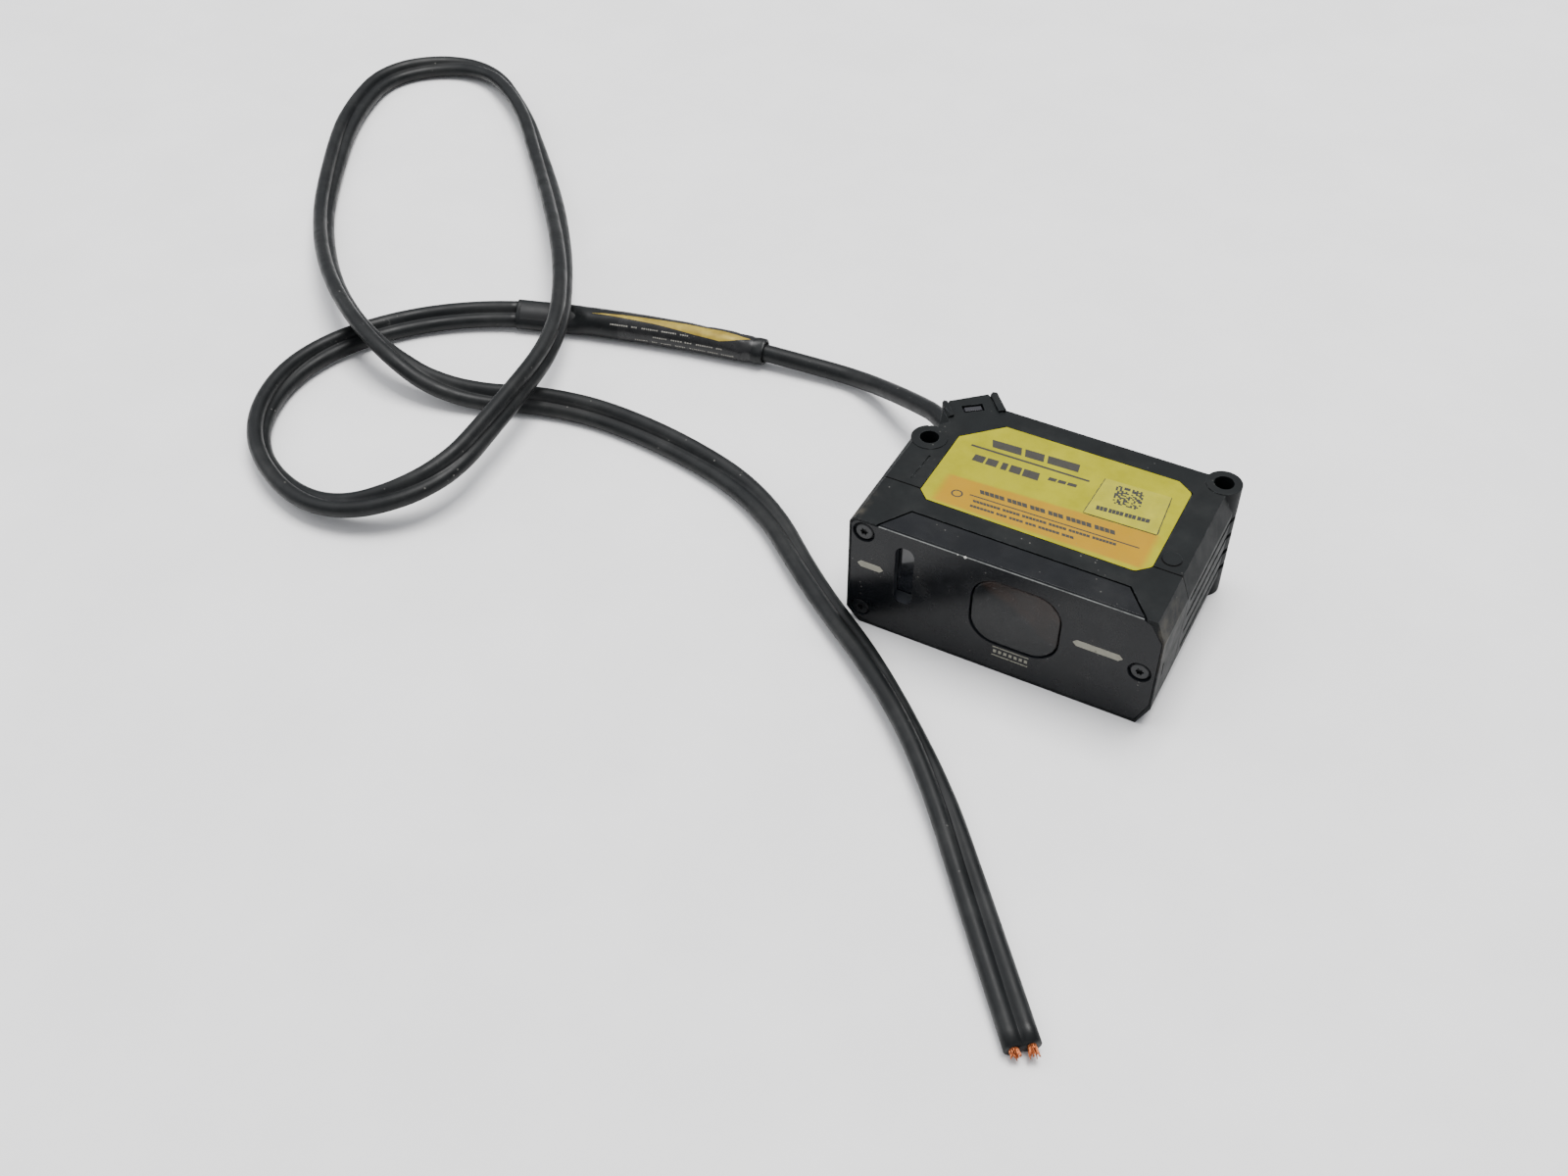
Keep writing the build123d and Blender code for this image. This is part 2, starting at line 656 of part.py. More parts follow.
with BuildPart() as sensor_board:
    with BuildSketch(S.offset(-1.64)):
        Rectangle(19.4, 9.6)
        with Locations((-8.2, 0), (8.2, 0)):
            Circle(0.85, mode=Mode.SUBTRACT)
    extrude(amount=-1.2)
save(sensor_board.part, "sensor_board")

with BuildPart() as sensor_board_screws:
    with BuildSketch(S.offset(-1.6)):
        with Locations((-8.2, 0), (8.2, 0)):
            Circle(0.72)
    extrude(amount=-2.9)
    with BuildSketch(S.offset(-0.9)):
        with Locations((-8.6, 0), (8.6, 0)):
            Circle(0.85)
    extrude(amount=-0.7)
save(sensor_board_screws.part, "sensor_board_screws")

with BuildPart() as light_baffle:
    with BuildSketch(F(8.4)):
        with BuildLine():
            Polyline(*X((15.3, 6.9), (15.3, 17.4), (15.9, 17.4), (15.9, 6.9)), close=True)
        make_face()
    extrude(amount=-14.6)
    with BuildSketch(F(12.0)):
        with BuildLine():
            Polyline(*X((15.3, 4.45), (15.3, 8.0), (15.9, 8.0), (15.9, 5.05), (24.0, 5.05), (24.0, 4.45)), close=True)
        make_face()
    extrude(amount=-11)
save(light_baffle.part, "light_baffle")

# ---------------------------------------------------------------- main board
board_holes = P((14.0, 16.0), (44.0, 16.0), (30.0, 33.6))
with BuildPart() as main_board:
    with BuildSketch(Plane.XY.offset(18.6)):
        with BuildLine():
            Polyline(*P((5.2, 13.6), (5.2, 20.6), (7.8, 21.3), (7.8, 27.9), (5.2, 31.9), (5.2, 34.2), (7.8, 36.6),
                        (11.2, 35.1), (47.5, 35.1), (47.5, 31.8), (49.2, 31.2), (49.2, 13.6)), close=True)
        make_face()
        with Locations(*board_holes):
            Circle(0.95, mode=Mode.SUBTRACT)
    extrude(amount=1.2)
save(main_board.part, "main_board")

with BuildPart() as board_parts:
    for bx, by, bw, bl, bh in ((24.5, 19.5, 7.0, 7.0, 1.0), (35.5, 19.0, 6.0, 5.0, 1.1), (44.5, 21.5, 4.0, 4.0, 1.2),
                               (19.0, 26.5, 3.2, 1.6, 0.8), (34.0, 33.2, 3.2, 2.4, 1.4), (40.0, 33.2, 2.0, 1.2, 0.8)):
        with BuildSketch(Plane.XY.offset(18.57 - bh)):
            with Locations(P((bx, by))[0]):
                Rectangle(bw, bl)
        extrude(amount=bh)
    for bx, by, bw, bl, bh in ((22.0, 24.0, 3.0, 3.0, 1.2), (37.0, 26.5, 4.0, 3.0, 1.0), (46.0, 27.0, 2.0, 1.2, 0.7)):
        with BuildSketch(Plane.XY.offset(19.83)):
            with Locations(P((bx, by))[0]):
                Rectangle(bw, bl)
        extrude(amount=bh)
save(board_parts.part, "board_parts")

with BuildPart() as board_screws:
    with BuildSketch(Plane.XY.offset(17.6)):
        with Locations(*board_holes):
            Circle(1.4)
    extrude(amount=0.96)
    with BuildSketch(Plane.XY.offset(18.5)):
        with Locations(*board_holes):
            Circle(0.65)
    extrude(amount=3.4)
    with BuildSketch(Plane.XY.offset(17.5)):
        with Locations(*board_holes):
            Rectangle(1.5, 0.35)
            Rectangle(0.35, 1.5)
    extrude(amount=0.5, mode=Mode.SUBTRACT)
save(board_screws.part, "board_screws")

with BuildPart() as board_connector:
    with BuildSketch(Plane.XY.offset(15.6)):
        with Locations(P((13.2, 30.2))[0]):
            Rectangle(7.6, 3.4)
    extrude(amount=2.97)
    with BuildSketch(Plane.XY.offset(15.5)):
        with Locations(*P((10.7, 30.2), (12.37, 30.2), (14.03, 30.2), (15.7, 30.2))):
            Rectangle(1.1, 1.5)
    extrude(amount=1.9, mode=Mode.SUBTRACT)
save(board_connector.part, "board_connector")

with BuildPart() as indicator_led:
    with BuildSketch(Plane(origin=(6.9 - CX, 35.1 - CY, 19.83), x_dir=(0.79, 0.61, 0), z_dir=(0, 0, 1))):
        Rectangle(1.6, 0.8)
    extrude(amount=0.7)
save(indicator_led.part, "indicator_led")

with BuildPart() as indicator_lens:
    with BuildSketch(Plane(origin=(6.64 - CX, 35.5 - CY, 21.0), x_dir=(0.79, 0.61, 0), z_dir=(0, 0, 1))):
        Rectangle(3.6, 1.7)
    extrude(amount=1.6)
    with BuildSketch(Plane(origin=(6.64 - CX, 35.5 - CY, 22.5), x_dir=(0.79, 0.61, 0), z_dir=(0, 0, 1))):
        Rectangle(3.0, 1.05)
    extrude(amount=0.66)
save(indicator_lens.part, "indicator_lens")

# ---------------------------------------------------------------- cable outlet
with BuildPart() as strain_relief:
    with BuildSketch(Plane(origin=outlet(-3.2), z_dir=outlet_dir)):
        Circle(2.35)
    extrude(amount=4.4)
    with BuildSketch(Plane(origin=outlet(0.25), z_dir=outlet_dir)):
        Circle(3.0)
    extrude(amount=1.1)
    with BuildSketch(Plane(origin=outlet(1.3), z_dir=outlet_dir)):
        Circle(2.6)
    with BuildSketch(Plane(origin=outlet(5.2), z_dir=outlet_dir)):
        Circle(2.3)
    loft()
    with BuildSketch(Plane(origin=outlet(-4), z_dir=outlet_dir)):
        Circle(1.82)
    extrude(amount=14, mode=Mode.SUBTRACT)
    with BuildSketch(Plane(origin=outlet(1.5), z_dir=outlet_dir)):
        Circle(1.82)
    with BuildSketch(Plane(origin=outlet(5.3), z_dir=outlet_dir)):
        Circle(2.05)
    loft(mode=Mode.SUBTRACT)
save(strain_relief.part, "strain_relief")

with BuildPart() as cable_stop:
    with BuildSketch(Plane(origin=outlet(-6.6), z_dir=outlet_dir)):
        Circle(2.35)
        Circle(1.82, mode=Mode.SUBTRACT)
    extrude(amount=3.0)
save(cable_stop.part, "cable_stop")

with BuildPart() as cable_wires:
    for i, (da, dz) in enumerate(((-0.5, 0.5), (0.5, 0.5), (-0.5, -0.5), (0.5, -0.5))):
        a = outlet(-8.05, exit_z + dz)
        b = outlet(-9.6 - 0.5 * i, exit_z + dz)
        wx, wy = -ny * da, nx * da
        cx = (10.7, 12.37, 14.03, 15.7)[i] - CX
        pts = [(a[0] + wx, a[1] + wy, a[2]), (b[0] + wx, b[1] + wy, b[2]), (cx, 30.2 - CY, 13.7 - 0.3 * i), (cx, 30.2 - CY, 17.3)]
        with BuildLine():
            w = FilletPolyline(*pts, radius=0.45)
        with BuildSketch(Plane(origin=w @ 0, z_dir=w % 0)):
            Circle(0.3)
        sweep(path=w)
save(cable_wires.part, "cable_wires")


# ---------------------------------------------------------------- free cables
def route_radii(pts):
    v = [Vector(*p) for p in pts]
    out = []
    for i in range(1, len(v) - 1):
        a, b = v[i] - v[i - 1], v[i + 1] - v[i]
        out.append(0.45 * min(a.length, b.length) / math.tan(math.radians(a.get_angle(b)) / 2))
    return out


def place(pts):
    return [(x - CX, y - CY, z) for x, y, z in pts]


def tube(pts, r, name):
    rad = route_radii(pts)
    with BuildPart() as cord:
        with BuildLine():
            line = FilletPolyline(*pts, radius=rad)
        with BuildSketch(Plane(origin=line @ 0, z_dir=line % 0)):
            Circle(r)
        sweep(path=line)
    print(name, "length", round(line.length, 2), "volume ratio",
          round(cord.part.volume / (math.pi * r * r * line.length), 5),
          "radii", [round(q, 1) for q in rad])
    save(cord.part, name)


# splice sleeve: lies on the surface along a shallow arc
arc_c = (-18.27, -180.0)
arc_r = math.hypot(-46.4 - arc_c[0], 56.8 - arc_c[1])
arc_a = math.atan2(56.8 - arc_c[1], -46.4 - arc_c[0])


def on_arc(s):
    t = arc_a + s / arc_r
    return (arc_c[0] + arc_r * math.cos(t) - CX, arc_c[1] + arc_r * math.sin(t) - CY, sleeve_z)


def arc_dir(s):
    t = arc_a + s / arc_r
    return (-math.sin(t), math.cos(t), 0)


sleeve_len = 53.4


def arc_tube(s0, s1, r_out, r_in, name):
    with BuildPart() as t:
        with BuildLine():
            a = ThreePointArc(on_arc(s0), on_arc((s0 + s1) / 2), on_arc(s1))
        with BuildSketch(Plane(origin=on_arc(s0), z_dir=arc_dir(s0))):
            Circle(r_out)
            if r_in:
                Circle(r_in, mode=Mode.SUBTRACT)
        sweep(path=a)
    save(t.part, name)


arc_tube(0, sleeve_len, sleeve_r, 2.35, "splice_sleeve")
arc_tube(1.0, sleeve_len - 1.0, 2.25, 0, "splice_core")
arc_tube(2.0, 36.0, 3.03, 2.93, "sleeve_label")

end_a, dir_a = on_arc(0.95), arc_dir(0.95)
end_b, dir_b = on_arc(sleeve_len - 0.8), arc_dir(sleeve_len)
sensor_route = [outlet(-8), outlet(8.5)] + place([(-12.3, 51.2, 7.6), (-23.5, 56.6, 3.7), (-34.4, 58.1, 2.6)]) + [end_a]
tube(sensor_route, cable_r, "sensor_cable")

twin_route = [end_b] + place([
    (-113.9, 39.0, 2.4), (-130.4, 13.7, 2.15), (-121.7, -14.3, 2.15), (-95.0, -26.4, 3.8), (-75.1, -14.8, 11.0),
    (-73.6, 9.4, 12.5), (-78.9, 29.7, 12.6), (-89.4, 50.7, 12.5), (-107.9, 74.5, 8.0), (-130.6, 99.7, 2.5),
    (-144.3, 118.2, 2.15), (-166.8, 132.8, 2.15), (-188.3, 118.3, 2.15), (-183.3, 92.9, 2.15), (-169.6, 73.9, 2.2),
    (-153.9, 49.6, 4.7), (-130.6, 26.5, 10.8), (-110.5, 14.1, 10.8), (-94.2, 14.5, 3.7), (-73.6, 25.8, 2.15),
    (-50.7, 24.4, 2.15), (-24.7, 18.7, 2.15), (-8.7, -0.2, 2.15), (11.7, -11.2, 2.15), (28.9, -27.5, 2.15),
    (44.3, -46.7, 2.15), (59.3, -65.0, 2.15)])
tube(twin_route, twin_r, "twin_cable")

# bare copper at the cut end
e1, e0 = Vector(*twin_route[-1]), Vector(*twin_route[-2])
end_dir = (e1 - e0).normalized()
side = end_dir.cross(Vector(0, 0, 1)).normalized()
with BuildPart() as copper_strands:
    for s in (-1, 1):
        o = e1 + side * (0.98 * s) + end_dir * 0.02
        with BuildSketch(Plane(origin=o, z_dir=end_dir)):
            Circle(0.72)
        extrude(amount=1.5)
save(copper_strands.part, "copper_strands")
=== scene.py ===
import math
import random

import bpy
from mathutils import Matrix, Vector


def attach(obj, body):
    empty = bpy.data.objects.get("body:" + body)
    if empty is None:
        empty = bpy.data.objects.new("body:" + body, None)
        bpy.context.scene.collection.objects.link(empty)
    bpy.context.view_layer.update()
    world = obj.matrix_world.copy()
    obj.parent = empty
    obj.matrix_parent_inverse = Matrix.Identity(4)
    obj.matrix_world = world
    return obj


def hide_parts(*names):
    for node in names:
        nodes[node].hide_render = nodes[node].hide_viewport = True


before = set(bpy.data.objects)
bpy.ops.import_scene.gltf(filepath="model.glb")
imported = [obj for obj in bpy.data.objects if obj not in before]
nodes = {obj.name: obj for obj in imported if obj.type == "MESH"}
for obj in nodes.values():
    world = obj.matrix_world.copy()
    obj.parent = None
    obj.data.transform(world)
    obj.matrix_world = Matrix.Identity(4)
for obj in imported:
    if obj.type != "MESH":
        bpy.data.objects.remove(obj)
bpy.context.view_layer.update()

MM = 0.001
CX, CY = 27.215, 21.665        # the head's front left corner is at (-CX, -CY) in the row frame, mm
H = 23.26


def V(x, y, z):
    """mm from the head's front left corner to metres in the row frame."""
    return Vector(((x - CX) * MM, (y - CY) * MM, z * MM))


def link(name, data):
    o = bpy.data.objects.new(name, data)
    bpy.context.scene.collection.objects.link(o)
    return o


def mesh_object(name, verts, faces, smooth=True):
    m = bpy.data.meshes.new(name)
    m.from_pydata([tuple(v) for v in verts], [], faces)
    m.validate()
    if smooth:
        m.polygons.foreach_set("use_smooth", [True] * len(m.polygons))
    m.update()
    return link(name, m)


# ------------------------------------------------------------------ camera
AZ, EL = math.radians(27.876), math.radians(44.220)
back = Vector((math.sin(AZ) * math.cos(EL), -math.cos(AZ) * math.cos(EL), math.sin(EL)))
right = Vector((math.cos(AZ), math.sin(AZ), 0))
up = back.cross(right)
cam_data = bpy.data.cameras.new("camera")
cam_data.sensor_width = 36
cam_data.lens = 39.376
cam_data.clip_start = 0.01
cam_data.clip_end = 10
cam = link("camera", cam_data)
rot = Matrix((right, up, back)).transposed().to_4x4()
cam.matrix_world = Matrix.Translation(V(88.518, -190.382, 210.748)) @ rot
bpy.context.scene.camera = cam


# ------------------------------------------------------------------ node helpers
def material(name):
    m = bpy.data.materials.new(name)
    m.use_nodes = True
    nt = m.node_tree
    bsdf = nt.nodes["Principled BSDF"]
    return m, nt, bsdf


class G:
    """Short names for building shader graphs."""

    def __init__(self, nt):
        self.nt = nt
        self.coord = nt.nodes.new("ShaderNodeTexCoord")
        self.sep = None

    def new(self, kind, **inputs):
        n = self.nt.nodes.new(kind)
        for k, v in inputs.items():
            self.put(n.inputs[k.replace("_", " ")], v)
        return n

    def put(self, socket, v):
        if isinstance(v, bpy.types.NodeSocket):
            self.nt.links.new(v, socket)
        else:
            socket.default_value = v

    def xyz(self):
        """Object coordinates in mm from the head's front left corner."""
        if self.sep is None:
            mp = self.nt.nodes.new("ShaderNodeVectorMath")
            mp.operation = "MULTIPLY_ADD"
            self.put(mp.inputs[0], self.coord.outputs["Object"])
            mp.inputs[1].default_value = (1000, 1000, 1000)
            mp.inputs[2].default_value = (CX, CY, 0)
            s = self.nt.nodes.new("ShaderNodeSeparateXYZ")
            self.nt.links.new(mp.outputs[0], s.inputs[0])
            self.sep = s.outputs
        return self.sep

    def math(self, op, a, b=None, c=None, clamp=False):
        n = self.nt.nodes.new("ShaderNodeMath")
        n.operation = op
        n.use_clamp = clamp
        self.put(n.inputs[0], a)
        if b is not None:
            self.put(n.inputs[1], b)
        if c is not None:
            self.put(n.inputs[2], c)
        return n.outputs[0]

    def noise(self, scale, detail=4.0, rough=0.55, vec=None, dist=0.0):
        n = self.nt.nodes.new("ShaderNodeTexNoise")
        self.put(n.inputs["Vector"], vec if vec is not None else self.coord.outputs["Object"])
        n.inputs["Scale"].default_value = scale
        n.inputs["Detail"].default_value = detail
        n.inputs["Roughness"].default_value = rough
        n.inputs["Distortion"].default_value = dist
        return n.outputs["Fac"]

    def voronoi(self, scale, feature="F1", out="Distance", vec=None):
        n = self.nt.nodes.new("ShaderNodeTexVoronoi")
        n.feature = feature
        self.put(n.inputs["Vector"], vec if vec is not None else self.coord.outputs["Object"])
        n.inputs["Scale"].default_value = scale
        return n.outputs[out]

    def ramp(self, fac, stops):
        n = self.nt.nodes.new("ShaderNodeMapRange")
        n.interpolation_type = "SMOOTHSTEP"
        self.put(n.inputs[0], fac)
        n.inputs[1].default_value, n.inputs[2].default_value = stops[0], stops[1]
        n.inputs[3].default_value, n.inputs[4].default_value = stops[2], stops[3]
        return n.outputs[0]

    def mix(self, fac, a, b):
        n = self.nt.nodes.new("ShaderNodeMix")
        n.data_type = "RGBA"
        self.put(n.inputs[0], fac)
        self.put(n.inputs[6], a)
        self.put(n.inputs[7], b)
        return n.outputs[2]

    def bump(self, height, strength, distance, normal=None):
        n = self.nt.nodes.new("ShaderNodeBump")
        n.inputs["Strength"].default_value = strength
        n.inputs["Distance"].default_value = distance
        self.put(n.inputs["Height"], height)
        if normal is not None:
            self.put(n.inputs["Normal"], normal)
        return n.outputs[0]

    def bevel(self, radius):
        n = self.nt.nodes.new("ShaderNodeBevel")
        n.samples = 4
        n.inputs["Radius"].default_value = radius
        return n.outputs[0]

    def wear(self, radius, lo, hi):
        """1 on edges, 0 on flats: how far a rounded edge's normal leans from the face's own."""
        g = self.nt.nodes.new("ShaderNodeNewGeometry")
        d = self.nt.nodes.new("ShaderNodeVectorMath")
        d.operation = "DOT_PRODUCT"
        self.nt.links.new(g.outputs["True Normal"], d.inputs[0])
        self.nt.links.new(self.bevel(radius), d.inputs[1])
        return self.ramp(d.outputs["Value"], (lo, hi, 1, 0))


def rgb(r, g, b):
    def lin(c):
        c /= 255.0
        return c / 12.92 if c <= 0.04045 else ((c + 0.055) / 1.055) ** 2.4
    return (lin(r), lin(g), lin(b), 1.0)


# ------------------------------------------------------------------ cords first
def nurbs(name, pts):
    cu = bpy.data.curves.new(name, "CURVE")
    cu.dimensions = "3D"
    sp = cu.splines.new("NURBS")
    sp.points.add(len(pts) - 1)
    for p, q in zip(sp.points, pts):
        p.co = (*q, 1)
    sp.order_u = 3
    sp.use_endpoint_u = True
    sp.resolution_u = 24
    return link(name, cu)


def spline_points(pts, res=24):
    """The points of the route's NURBS spline."""
    o = nurbs("route_tmp", pts)
    o.data.resolution_u = res
    dg = bpy.context.evaluated_depsgraph_get()
    m = bpy.data.meshes.new_from_object(o.evaluated_get(dg))
    out = [v.co.copy() for v in m.vertices]
    bpy.data.objects.remove(o)
    bpy.data.meshes.remove(m)
    return out


def run_length(p):
    return sum((b - a).length for a, b in zip(p, p[1:]))


# outlet axis at the 45 degree wall
on = Vector((-0.68, 0.733, 0)).normalized()


def outlet(d, z=11.5):
    return V(4.75, 37.95, z) + on * (d * MM)


sensor_route = [outlet(-8), V(-1.06, 44.21, 11.5), V(-12.3, 51.48, 7.31), V(-24.8, 58.58, 2.4), V(-34.58, 58.2, 2.55), V(-47.9, 56.6, 3.1)]

twin_route = [V(*p) for p in (
    (-97.6, 44.9, 3.00), (-113.4, 38.5, 2.50), (-129.7, 12.7, 2.77), (-121.5, -14.0, 2.94), (-95.4, -25.2, 3.00),
    (-76.5, -12.4, 8.60), (-78.0, 11.6, 9.30), (-81.0, 33.9, 9.30), (-92.5, 54.4, 9.30), (-110.4, 77.7, 6.00),
    (-128.7, 98.5, 2.83), (-146.8, 117.8, 2.97), (-167.9, 132.1, 2.28), (-187.1, 118.8, 2.45), (-182.3, 95.8, 2.53),
    (-168.8, 71.7, 2.73), (-155.8, 52.1, 3.35), (-133.6, 29.4, 8.05), (-113.3, 17.1, 8.05), (-95.0, 15.5, 2.92),
    (-73.5, 25.1, 2.65), (-49.6, 24.3, 2.59), (-26.4, 18.4, 2.07), (-7.4, 1.7, 2.24), (12.0, -11.9, 2.61),
    (29.0, -27.8, 2.54), (44.2, -46.5, 1.97), (59.2, -65.0, 1.71))]

# side-to-side tilt of the flat cable along its length: (mm from the sleeve, degrees)
TILT = [
        (0, 35), (6, 35), (12, 35), (18, 35), (24, 35), (30, 35), (36, 34), (42, 37), (48, 44), (54, 53), (60, 60), (66, 65),
        (72, 66), (78, 62), (84, 51), (90, 35), (96, 20), (102, 5), (108, -10), (114, -26), (120, -40), (126, -52), (132, -60), (138, -66),
        (144, -70), (150, -74), (156, -76), (162, -76), (168, -76), (174, -74), (180, -72), (186, -69), (192, -64), (198, -58), (204, -53), (210, -48),
        (216, -43), (222, -41), (228, -39), (234, -39), (240, -41), (246, -45), (252, -50), (258, -56), (264, -59), (270, -60), (276, -58), (282, -49),
        (288, -34), (294, -13), (300, 8), (306, 25), (312, 34), (318, 34), (324, 30), (330, 25), (336, 25), (342, 30), (348, 38), (354, 45),
        (360, 50), (366, 54), (372, 58), (378, 61), (384, 62), (390, 62), (396, 61), (402, 61), (408, 62), (414, 63), (420, 63), (426, 62),
        (432, 60), (438, 55), (444, 47), (450, 32), (456, 12), (462, -10), (468, -28), (474, -39), (480, -44), (486, -46), (492, -47), (498, -45),
        (504, -43), (510, -39), (516, -33), (522, -25), (528, -16), (534, -5), (540, 7), (546, 17), (552, 24), (558, 26), (564, 27), (570, 27),
        (576, 30), (582, 36), (588, 41), (594, 43), (600, 40), (606, 33), (612, 26), (618, 19), (624, 13), (630, 9), (636, 6), (642, 3),
        (648, 0), (654, -2)]


def tilt(s):
    for (a, u), (b, v) in zip(TILT, TILT[1:]):
        if s <= b:
            t = max(0.0, (s - a) / (b - a))
            return math.radians(u + (v - u) * t)
    return math.radians(TILT[-1][1])


LOBE_R, LOBE_C, WEB = 1.52, 1.28, 0.88


def figure8():
    """Section of the flat two-core cable: two round jackets and the web between."""
    a0 = math.asin(WEB / LOBE_R)
    pts = []
    n = 15
    for side in (1, -1):
        for i in range(n):
            a = -math.pi + a0 + (2 * math.pi - 2 * a0) * i / (n - 1)
            x, y = LOBE_C + LOBE_R * math.cos(a), LOBE_R * math.sin(a)
            pts.append((x, y) if side == 1 else (-x, -y))
    return pts


def swept(name, path, section_at, smooth=True, caps=True):
    """Mesh along path; section_at(s, i) gives (points, tilt angle) in mm."""
    verts, faces, s = [], [], 0.0
    n = None
    for i, p in enumerate(path):
        if i:
            s += (p - path[i - 1]).length / MM
        t = (path[min(i + 1, len(path) - 1)] - path[max(i - 1, 0)]).normalized()
        side = t.cross(Vector((0, 0, 1))).normalized()
        u = side.cross(t).normalized()
        pts, ang = section_at(s, i)
        ca, sa = math.cos(ang), math.sin(ang)
        n = len(pts)
        for x, y in pts:
            xx, yy = x * ca - y * sa, x * sa + y * ca
            verts.append(p + side * (xx * MM) + u * (yy * MM))
    for i in range(len(path) - 1):
        for j in range(n):
            a, b = i * n + j, i * n + (j + 1) % n
            faces.append((a, b, b + n, a + n))
    if caps:
        faces.append(tuple(range(n - 1, -1, -1)))
        k = (len(path) - 1) * n
        faces.append(tuple(range(k, k + n)))
    return mesh_object(name, verts, faces, smooth)


twin_path = spline_points(twin_route, 16)
twin_len = run_length(twin_path)
SEC8 = figure8()
twin_cable = swept("twin_cable_jacket", twin_path, lambda s, i: (SEC8, tilt(s)))
sensor_path = spline_points(sensor_route, 24)
ROUND = [(1.75 * math.cos(2 * math.pi * k / 36), 1.75 * math.sin(2 * math.pi * k / 36)) for k in range(36)]
sensor_cable = swept("sensor_cable_jacket", sensor_path, lambda s, i: (ROUND, 0.0))
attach(twin_cable, "root")
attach(sensor_cable, "root")
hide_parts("twin_cable")
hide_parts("sensor_cable")

# ------------------------------------------------------------------ heat-shrink sleeve
ARC_C = (-18.27, -180.0)
ARC_A = (-46.4, 56.8)
ARC_R = math.hypot(ARC_A[0] - ARC_C[0], ARC_A[1] - ARC_C[1])
ARC_T = math.atan2(ARC_A[1] - ARC_C[1], ARC_A[0] - ARC_C[0])
SLEEVE_LEN = 53.4


def on_arc(s, z=3.1):
    t = ARC_T + s / ARC_R
    return V(ARC_C[0] + ARC_R * math.cos(t), ARC_C[1] + ARC_R * math.sin(t), z)


def smooth(t):
    t = min(1.0, max(0.0, t))
    return t * t * (3 - 2 * t)


# half width and half height of the sleeve along it, from the cable end
SLEEVE = [(0.0, 2.5, 2.4), (0.5, 2.66, 2.56), (1.6, 2.72, 2.6), (3.2, 2.76, 2.7), (5.5, 2.84, 2.8), (9, 2.86, 2.86),
          (20, 2.9, 2.9), (34, 2.92, 2.9), (38, 2.95, 2.8), (41, 3.05, 2.35), (44, 3.12, 1.92), (49, 3.12, 1.8), (52.6, 3.1, 1.78), (53.4, 3.12, 1.8)]


def sleeve_size(s):
    for a, b in zip(SLEEVE, SLEEVE[1:]):
        if s <= b[0]:
            t = smooth((s - a[0]) / (b[0] - a[0]))
            return a[1] + (b[1] - a[1]) * t, a[2] + (b[2] - a[2]) * t
    return SLEEVE[-1][1:]


NS, NR = 260, 72
dents = random.Random(11)
DENTS = [(dents.uniform(0.6, 52), dents.uniform(0, 2 * math.pi), dents.uniform(0.6, 2.4), dents.uniform(0.25, 0.8), dents.uniform(-0.09, 0.045)) for _ in range(90)]
DENTS += [(dents.uniform(0.3, 6.5), dents.uniform(0, 2 * math.pi), dents.uniform(0.5, 1.3), dents.uniform(0.25, 0.6), dents.uniform(-0.2, 0.08)) for _ in range(44)]
DENTS += [(dents.uniform(36, 44), dents.uniform(0.2, 2.9), dents.uniform(1.0, 2.2), dents.uniform(0.3, 0.8), dents.uniform(-0.16, 0.05)) for _ in range(12)]


def sleeve_point(s, a, grow=0.0, dz=3.1):
    hw, hh = sleeve_size(s)
    r = 1.0
    # a rounded-rectangle exponent for the flattened end
    k = smooth((s - 37) / 7)
    lean = math.radians(35)
    ca, sa = math.cos(a - lean), math.sin(a - lean)
    e = 2.0 + 0.6 * k
    rr = (abs(ca) ** e + abs(sa) ** e) ** (-1 / e)
    x, y = hw * rr * ca, hh * rr * sa
    x, y = x * math.cos(lean) - y * math.sin(lean), x * math.sin(lean) + y * math.cos(lean)
    d = 0.0
    for ds, da, ws, wa, amp in DENTS:
        u = (s - ds) / ws
        if abs(u) > 2.2:
            continue
        w = (a - da + math.pi) % (2 * math.pi) - math.pi
        w /= wa
        if abs(w) < 2.2:
            d += amp * math.exp(-u * u - w * w)
    n = math.hypot(x, y)
    f = 1 + (d + grow) / n
    return x * f, y * f


def sleeve_frame(s):
    p, q = on_arc(s - 0.2), on_arc(s + 0.2)
    t = (q - p).normalized()
    side = t.cross(Vector((0, 0, 1))).normalized()
    hw, hh = sleeve_size(s)
    # the flattened end rests a little above the floor with the cable in it
    z = 3.1 - 0.1 * smooth((s - 36) / 8)
    return on_arc(s, z), side, Vector((0, 0, 1)), t


def sleeve_vert(s, a, grow=0.0):
    p, side, upv, t = sleeve_frame(s)
    x, y = sleeve_point(s, a, grow)
    return p + side * (x * MM) + upv * (y * MM)


verts, faces = [], []
for i in range(NS + 1):
    s = SLEEVE_LEN * i / NS
    for j in range(NR):
        a = 2 * math.pi * j / NR
        wob = 0.0
        if i == 0:
            wob = 0.35 * math.sin(a * 2 + 0.7) + 0.18 * math.sin(a * 5)
        if i == NS:
            wob = 0.25 * math.sin(a + 1.0)
        verts.append(sleeve_vert(min(SLEEVE_LEN, max(0.02, s + wob * (0.5 if i == NS else 0.6))), a))
for i in range(NS):
    for j in range(NR):
        a, b = i * NR + j, i * NR + (j + 1) % NR
        faces.append((b, a, a + NR, b + NR))
